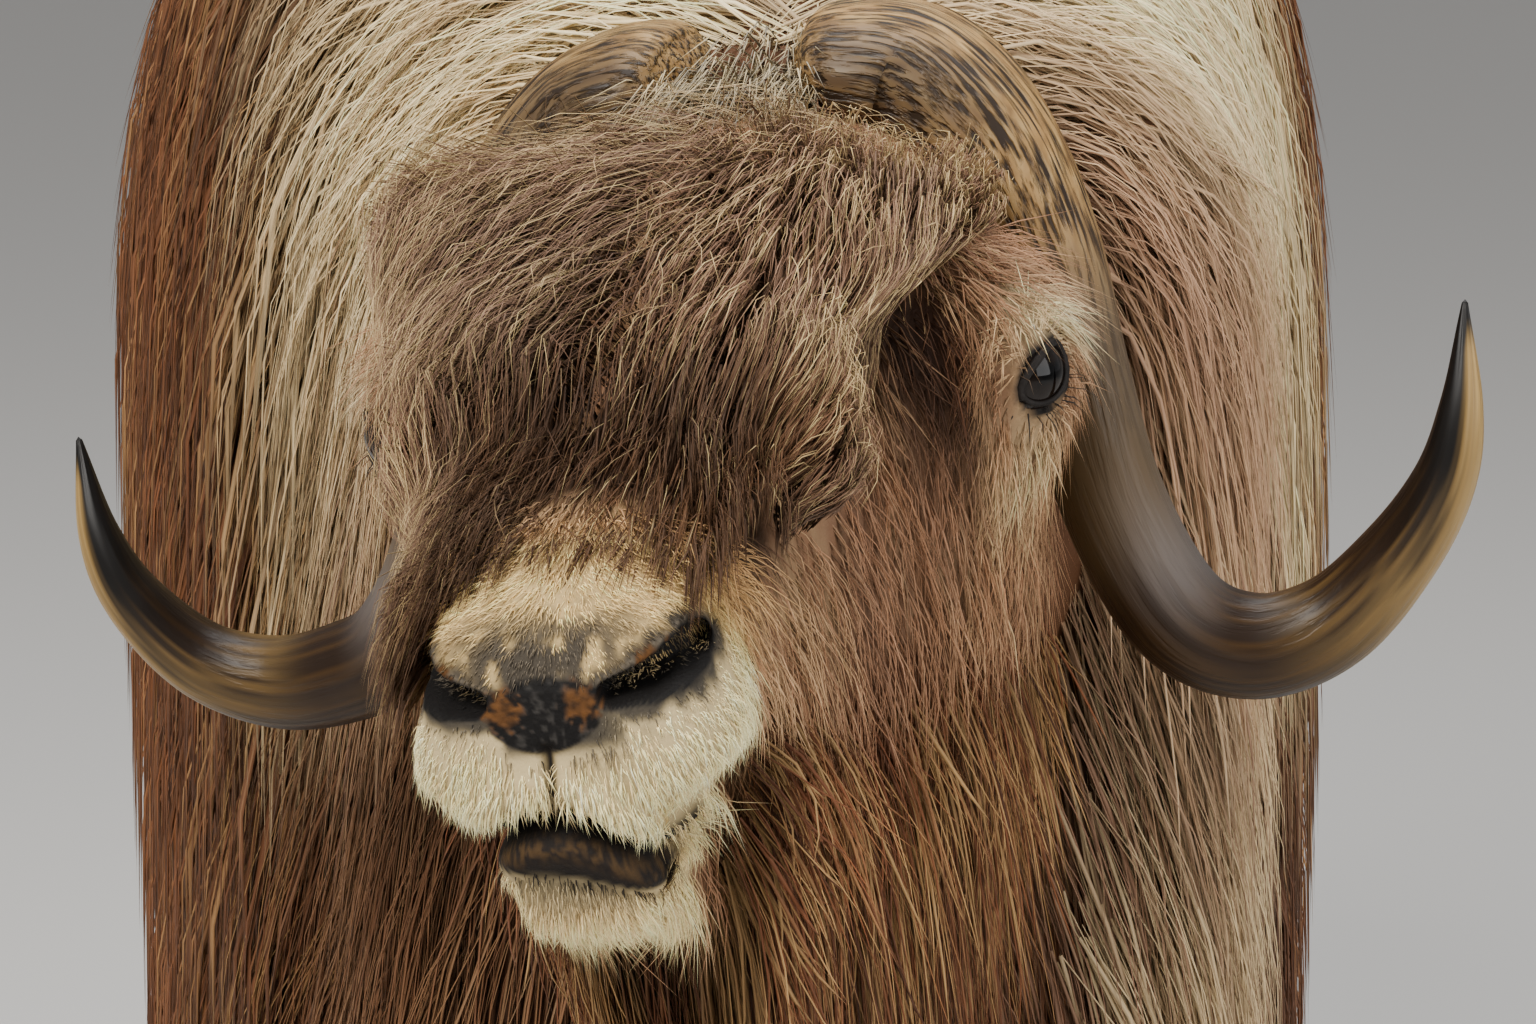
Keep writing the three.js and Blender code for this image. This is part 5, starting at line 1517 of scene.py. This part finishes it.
def make_lids(label, centre, axis, across, up):
    """A soft rim along an almond on the eyeball"""
    a = np.linspace(0, TAU, LID_STEPS, endpoint=False)
    tall = np.where(np.sin(a) > 0, 0.68 * power(np.sin(a), 0.8), power(np.sin(a), 1.1)) * EYE_HIGH
    flat = across * EYE_WIDE * np.cos(a)[:, None] + up * tall[:, None]
    reach = np.sqrt(np.maximum(EYE_RADIUS ** 2 - np.sum(flat ** 2, -1), 16.0))
    line = centre + flat + axis * reach[:, None]
    outward = unit(line - centre)
    over = unit(np.cross(np.roll(line, -1, 0) - np.roll(line, 1, 0), outward))
    over = over * np.sign(np.sum(over * flat, -1))[:, None]
    b = np.linspace(0, TAU, LID_ROUND, endpoint=False)
    thick = np.where(np.sin(a) > 0, 1.7, 1.2)[:, None]
    ring = line[:, None] + over[:, None] * ((np.cos(b) + 0.85) * thick)[..., None]
    ring = ring + outward[:, None] * (np.sin(b) * thick * 0.9 + 0.6)[..., None]
    ring = ring.reshape(-1, 3)
    faces = []
    for i in range(LID_STEPS):
        for j in range(LID_ROUND):
            here, ahead = i * LID_ROUND, (i + 1) % LID_STEPS * LID_ROUND
            k = (j + 1) % LID_ROUND
            faces.append((here + j, here + k, ahead + k, ahead + j))
    piece = make_object(f"lids_{label}", to_scene(from_head(ring)), faces, lid_stuff)
    paint(piece, LID_DARK * (0.5 + 0.5 * noise(ring, 3, 14))[:, None])
    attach(piece, "root")


for label, side in SIDES:
    make_horn(label, side)
for label, side in SIDES:
    mirror = np.array([side, 1, 1])
    axis, centre = EYE_AXIS * mirror, EYE_CENTRE * mirror
    across, up = eye_frame(axis)
    make_eye(label, centre, axis, across, up)
    make_lids(label, centre, axis, *tilted(across * side, up))

# Hooves and ears keep the solids' forms, with materials of their own
for name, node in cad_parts.items():
    if name.startswith("hoof") or name.startswith("ear"):
        is_hoof = name.startswith("hoof")
        node.data.materials.clear()
        node.data.materials.append(hoof_stuff if is_hoof else skin_stuff)
        paint(node, np.tile(HOOF_DARK if is_hoof else MANE_PINK, (len(node.data.vertices), 1)))

# Stage, light and camera, in metres and degrees

FLOOR_SIZE, FLOOR_WALL, FLOOR_CURVE, FLOOR_TOP = 45.0, 30.0, 6.0, 25.0
CURVE_STEPS = 12
CAMERA_AT = np.array([-76.4, -3005.5, 1252.5])
CAMERA_TURN = (80, 0, -2)
CAMERA_LENS = 125.32


def make_stage():
    """A floor that curves up into a wall behind"""
    floor_stuff, shader, _ = new_material("floor", 0.9)
    set_inputs(shader, [("Base Color", (0.62, 0.61, 0.59, 1))])
    bend = np.linspace(0, math.pi / 2, CURVE_STEPS + 1)
    curve = [(FLOOR_WALL + FLOOR_CURVE * math.sin(a), FLOOR_CURVE * (1 - math.cos(a))) for a in bend]
    profile = [(-FLOOR_SIZE, 0.0), *curve, (FLOOR_WALL + FLOOR_CURVE, FLOOR_TOP)]
    vertices = [(x, y, z) for x in (-FLOOR_SIZE, FLOOR_SIZE) for y, z in profile]
    n = len(profile)
    faces = [(i, i + 1, n + i + 1, n + i) for i in range(n - 1)]
    floor = make_object("floor", vertices, faces, floor_stuff)


def add_area(name, place, target, size, energy, colour):
    data = bpy.data.lights.new(name, "AREA")
    data.size = size
    data.energy = energy
    data.color = colour
    lamp = bpy.data.objects.new(name, data)
    lamp.location = place
    lamp.rotation_euler = (Vector(target) - Vector(place)).to_track_quat("-Z", "Y").to_euler()
    bpy.context.collection.objects.link(lamp)


make_stage()
add_area("key", (-1.8, -3.2, 3.6), (0, -0.5, 0.8), 2.0, 262, (1.0, 0.965, 0.915))
add_area("fill", (3.2, -2.6, 2.0), (0, -0.4, 0.8), 2.6, 98, (0.98, 0.98, 0.98))
add_area("top", (0.3, 0.4, 4.2), (0, 0, 0.9), 2.5, 120, (1, 1, 1))
world = bpy.data.worlds.new("studio")
world.use_nodes = True
set_inputs(world.node_tree.nodes["Background"], [("Color", (0.93, 0.92, 0.92, 1)), ("Strength", 0.45)])
bpy.context.scene.world = world

camera_data = bpy.data.cameras.new("camera")
camera_data.lens = CAMERA_LENS
camera_data.sensor_width = 36
camera = bpy.data.objects.new("camera", camera_data)
camera.location = to_scene(CAMERA_AT)
camera.rotation_euler = [math.radians(angle) for angle in CAMERA_TURN]
bpy.context.collection.objects.link(camera)
bpy.context.scene.camera = camera
